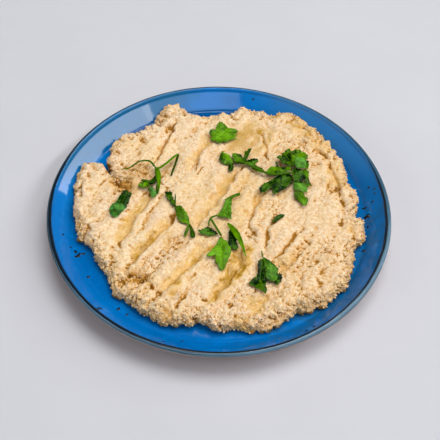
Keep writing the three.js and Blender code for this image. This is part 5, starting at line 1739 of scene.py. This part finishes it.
def stalk_shape(stalk, bed):
    """A stalk: circles carried along a smooth line, with a groove on top, from one radius to another, drawn
    in at each end."""
    *path, start_radius, end_radius = stalk
    line = laid_line(path, bed, max(start_radius, end_radius))
    side, up = line_frame(line)
    share = np.linspace(0, 1, len(line))
    turn = TAU * np.arange(STALK_SIDES) / STALK_SIDES
    groove = 1 - 0.22 * np.exp(-(((turn - np.pi / 2) / 0.5) ** 2))
    taper = np.minimum(1, np.minimum(share, 1 - share) * len(line) / 2.0 + 0.3)
    radius = (start_radius + (end_radius - start_radius) * share) * taper
    circle = np.cos(turn)[None, :, None] * side[:, None] + np.sin(turn)[None, :, None] * up[:, None]
    ring = radius[:, None, None] * groove[None, :, None]
    points = np.concatenate([(line[:, None] + ring * circle).reshape(-1, 3), [line[0], line[-1]]])
    values = {key: np.full(len(points), value) for key, value in STALK_LOOK.items()}
    return points, *tube_faces(len(line), STALK_SIDES), values


def make_sprig(name, parts, bed, material):
    """One piece of parsley: its stalks and leaves joined as one mesh."""
    kinds = (("stalks", stalk_shape), ("leaves", flat_leaf), ("blades", blade_leaf))
    shapes = [shape_of(part, bed) for kind, shape_of in kinds for part in parts.get(kind, ())]
    firsts = np.cumsum([0] + [len(shape[0]) for shape in shapes])
    points = np.concatenate([shape[0] for shape in shapes])
    quads = np.concatenate([shape[1] + first for shape, first in zip(shapes, firsts)])
    triangles = np.concatenate([shape[2] + first for shape, first in zip(shapes, firsts)])
    values = {key: np.concatenate([shape[3][key] for shape in shapes]) for key in shapes[0][3]}
    return make_piece(name + "_fresh", points, quads, triangles, values, (material,))


def parsley_material():
    """Leaf green by each leaf's lightness, which is partly its own green and partly painted light and shade,
    and by its coolness, paler along its midrib and side veins, with a shine.
    """
    material, tree, shader = new_material("parsley_green", Roughness=0.2, IOR=1.45, Specular_IOR_Level=0.1)
    tree.feed(shader, {"Subsurface Weight": 0.06, "Subsurface Radius": (0.4, 1.0, 0.15)})
    tree.feed(shader, {"Subsurface Scale": 0.001})
    place = tree.place()
    across = tree.math("ABSOLUTE", tree.value_of("across"))
    # Painted light and shade: the dark ends of these greens stand for leaves in shadow, the pale ends for
    # leaves in the light, and the greyer pale cold green for a leaf in sheen, a painted highlight.
    warm = tree.mix(tree.value_of("tone_and_painted_light"), (0.0, 0.012, 0.0), (0.18, 0.43, 0.0))
    cold = tree.mix(tree.value_of("tone_and_painted_light"), (0.0, 0.016, 0.0), (0.11, 0.34, 0.055))
    green = tree.mix(tree.value_of("cool"), warm, cold)
    clouds = tree.noise(place, 300, 3)
    green = tree.mix(tree.ramp(clouds, 0.44, 0.62, 0, 0.35), green, (0.002, 0.030, 0.0))
    midrib = tree.ramp(across, 0.10, 0.02)
    to_vein = tree.math("PINGPONG", tree.value_of("along"), 0.5)
    vein = tree.times(tree.ramp(to_vein, 0.08, 0.0), tree.ramp(across, 0.95, 0.3))
    pale = tree.math("MAXIMUM", tree.times(midrib, 0.35), tree.times(vein, 0.35))
    green = tree.mix(pale, green, (0.17, 0.44, 0.005))
    tree.feed(shader, {"Base Color": green})
    height = tree.minus(tree.noise(place, 900, 2), tree.times(pale, 0.8))
    tree.bump(shader, height, 0.22, 0.00025)
    return material


leaf_bed = blurred(spread_highest(ground, 3), 2)
parsley_green = parsley_material()
for sprig_name, sprig_parts in PARSLEY.items():
    finish_piece(make_sprig(sprig_name, sprig_parts, leaf_bed, parsley_green), "parsley", sprig_name)

# ---------------------------------------------------------------- table and light

TABLE_HALF = 3000
TABLE_HEIGHT = -0.02
SKY_DARK_TOWARD = (0, 0.63, 0.78)  # kept dark, so that the flat of the plate mirrors no light
SKY_DARK_COSINES = (0.93, 0.60)  # dark within the first, pale beyond the second
SKY_DARK = 0.02
SKY_FILL = 0.22

# Name, way towards the light, way its length runs, distance, length and width in metres, watts, colour
LIGHTS = [
    ("side_strip", (0.738, 0.106, 0.667), (0.216, 0.894, -0.397), 3.2, 3.7, 0.5, 53, (1.0, 0.985, 0.96)),
    ("front_panel", (0.222, -0.50, 0.837), (0.953, 0.291, -0.079), 3.2, 2.6, 0.45, 10, (1.0, 0.99, 0.98)),
    ("left_fill", (-0.75, -0.45, 0.48), (0.51, -0.86, 0), 3.0, 2.6, 1.4, 13, (1.0, 0.98, 0.95)),
    ("key", (0.18, 0.235, 0.945), (1, 0, 0), 3.5, 2.4, 2.0, 78.5, (1.0, 0.975, 0.94)),
]


def table_material():
    """Pale grey stone, faintly clouded."""
    material, tree, shader = new_material("pale_table", Roughness=0.75)
    place = tree.place()
    clouds = tree.noise(place, 14, 5, 0.6)
    colour = tree.mix(clouds, (0.565, 0.575, 0.635), (0.615, 0.625, 0.685))
    tree.feed(shader, {"Base Color": colour})
    return material


def make_table():
    """A wide flat square just under the plate's foot."""
    signs = np.array([[-1, -1], [1, -1], [1, 1], [-1, 1]])
    corners = np.concatenate([TABLE_HALF * signs, np.full((4, 1), TABLE_HEIGHT)], 1)
    table = make_piece("table", corners, np.array([[0, 1, 2, 3]]), None, None, (table_material(),))


def soft_box(name, toward, long_way, distance, length, width, power, colour):
    """A rectangular light that faces the plate from a distance in metres; its length runs the long way."""
    data = bpy.data.lights.new(name, "AREA")
    data.shape = "RECTANGLE"
    data.size = length
    data.size_y = width
    data.energy = power
    data.color = colour
    light = bpy.data.objects.new(name, data)
    bpy.context.scene.collection.objects.link(light)
    back = unit(np.array(toward))
    side = unit(np.array(long_way) - back * np.dot(back, long_way))
    light.matrix_world = placed(side, np.cross(back, side), back, back * distance)


def make_sky():
    """Soft pale surroundings with a dark round patch high at the back."""
    world = bpy.data.worlds.new("studio")
    world.use_nodes = True
    tree = Tree(world.node_tree)
    toward = tree.place("Generated")
    dot = tree.add("ShaderNodeVectorMath", {0: toward, 1: SKY_DARK_TOWARD}, operation="DOT_PRODUCT")
    strength = tree.ramp(dot.outputs["Value"], *SKY_DARK_COSINES, SKY_DARK, SKY_FILL)
    tree.feed(world.node_tree.nodes["Background"], {"Color": (0.95, 0.97, 1.0, 1), "Strength": strength})
    bpy.context.scene.world = world


make_table()
make_sky()
for light in LIGHTS:
    soft_box(*light)
bpy.context.scene.view_settings.view_transform = "Standard"
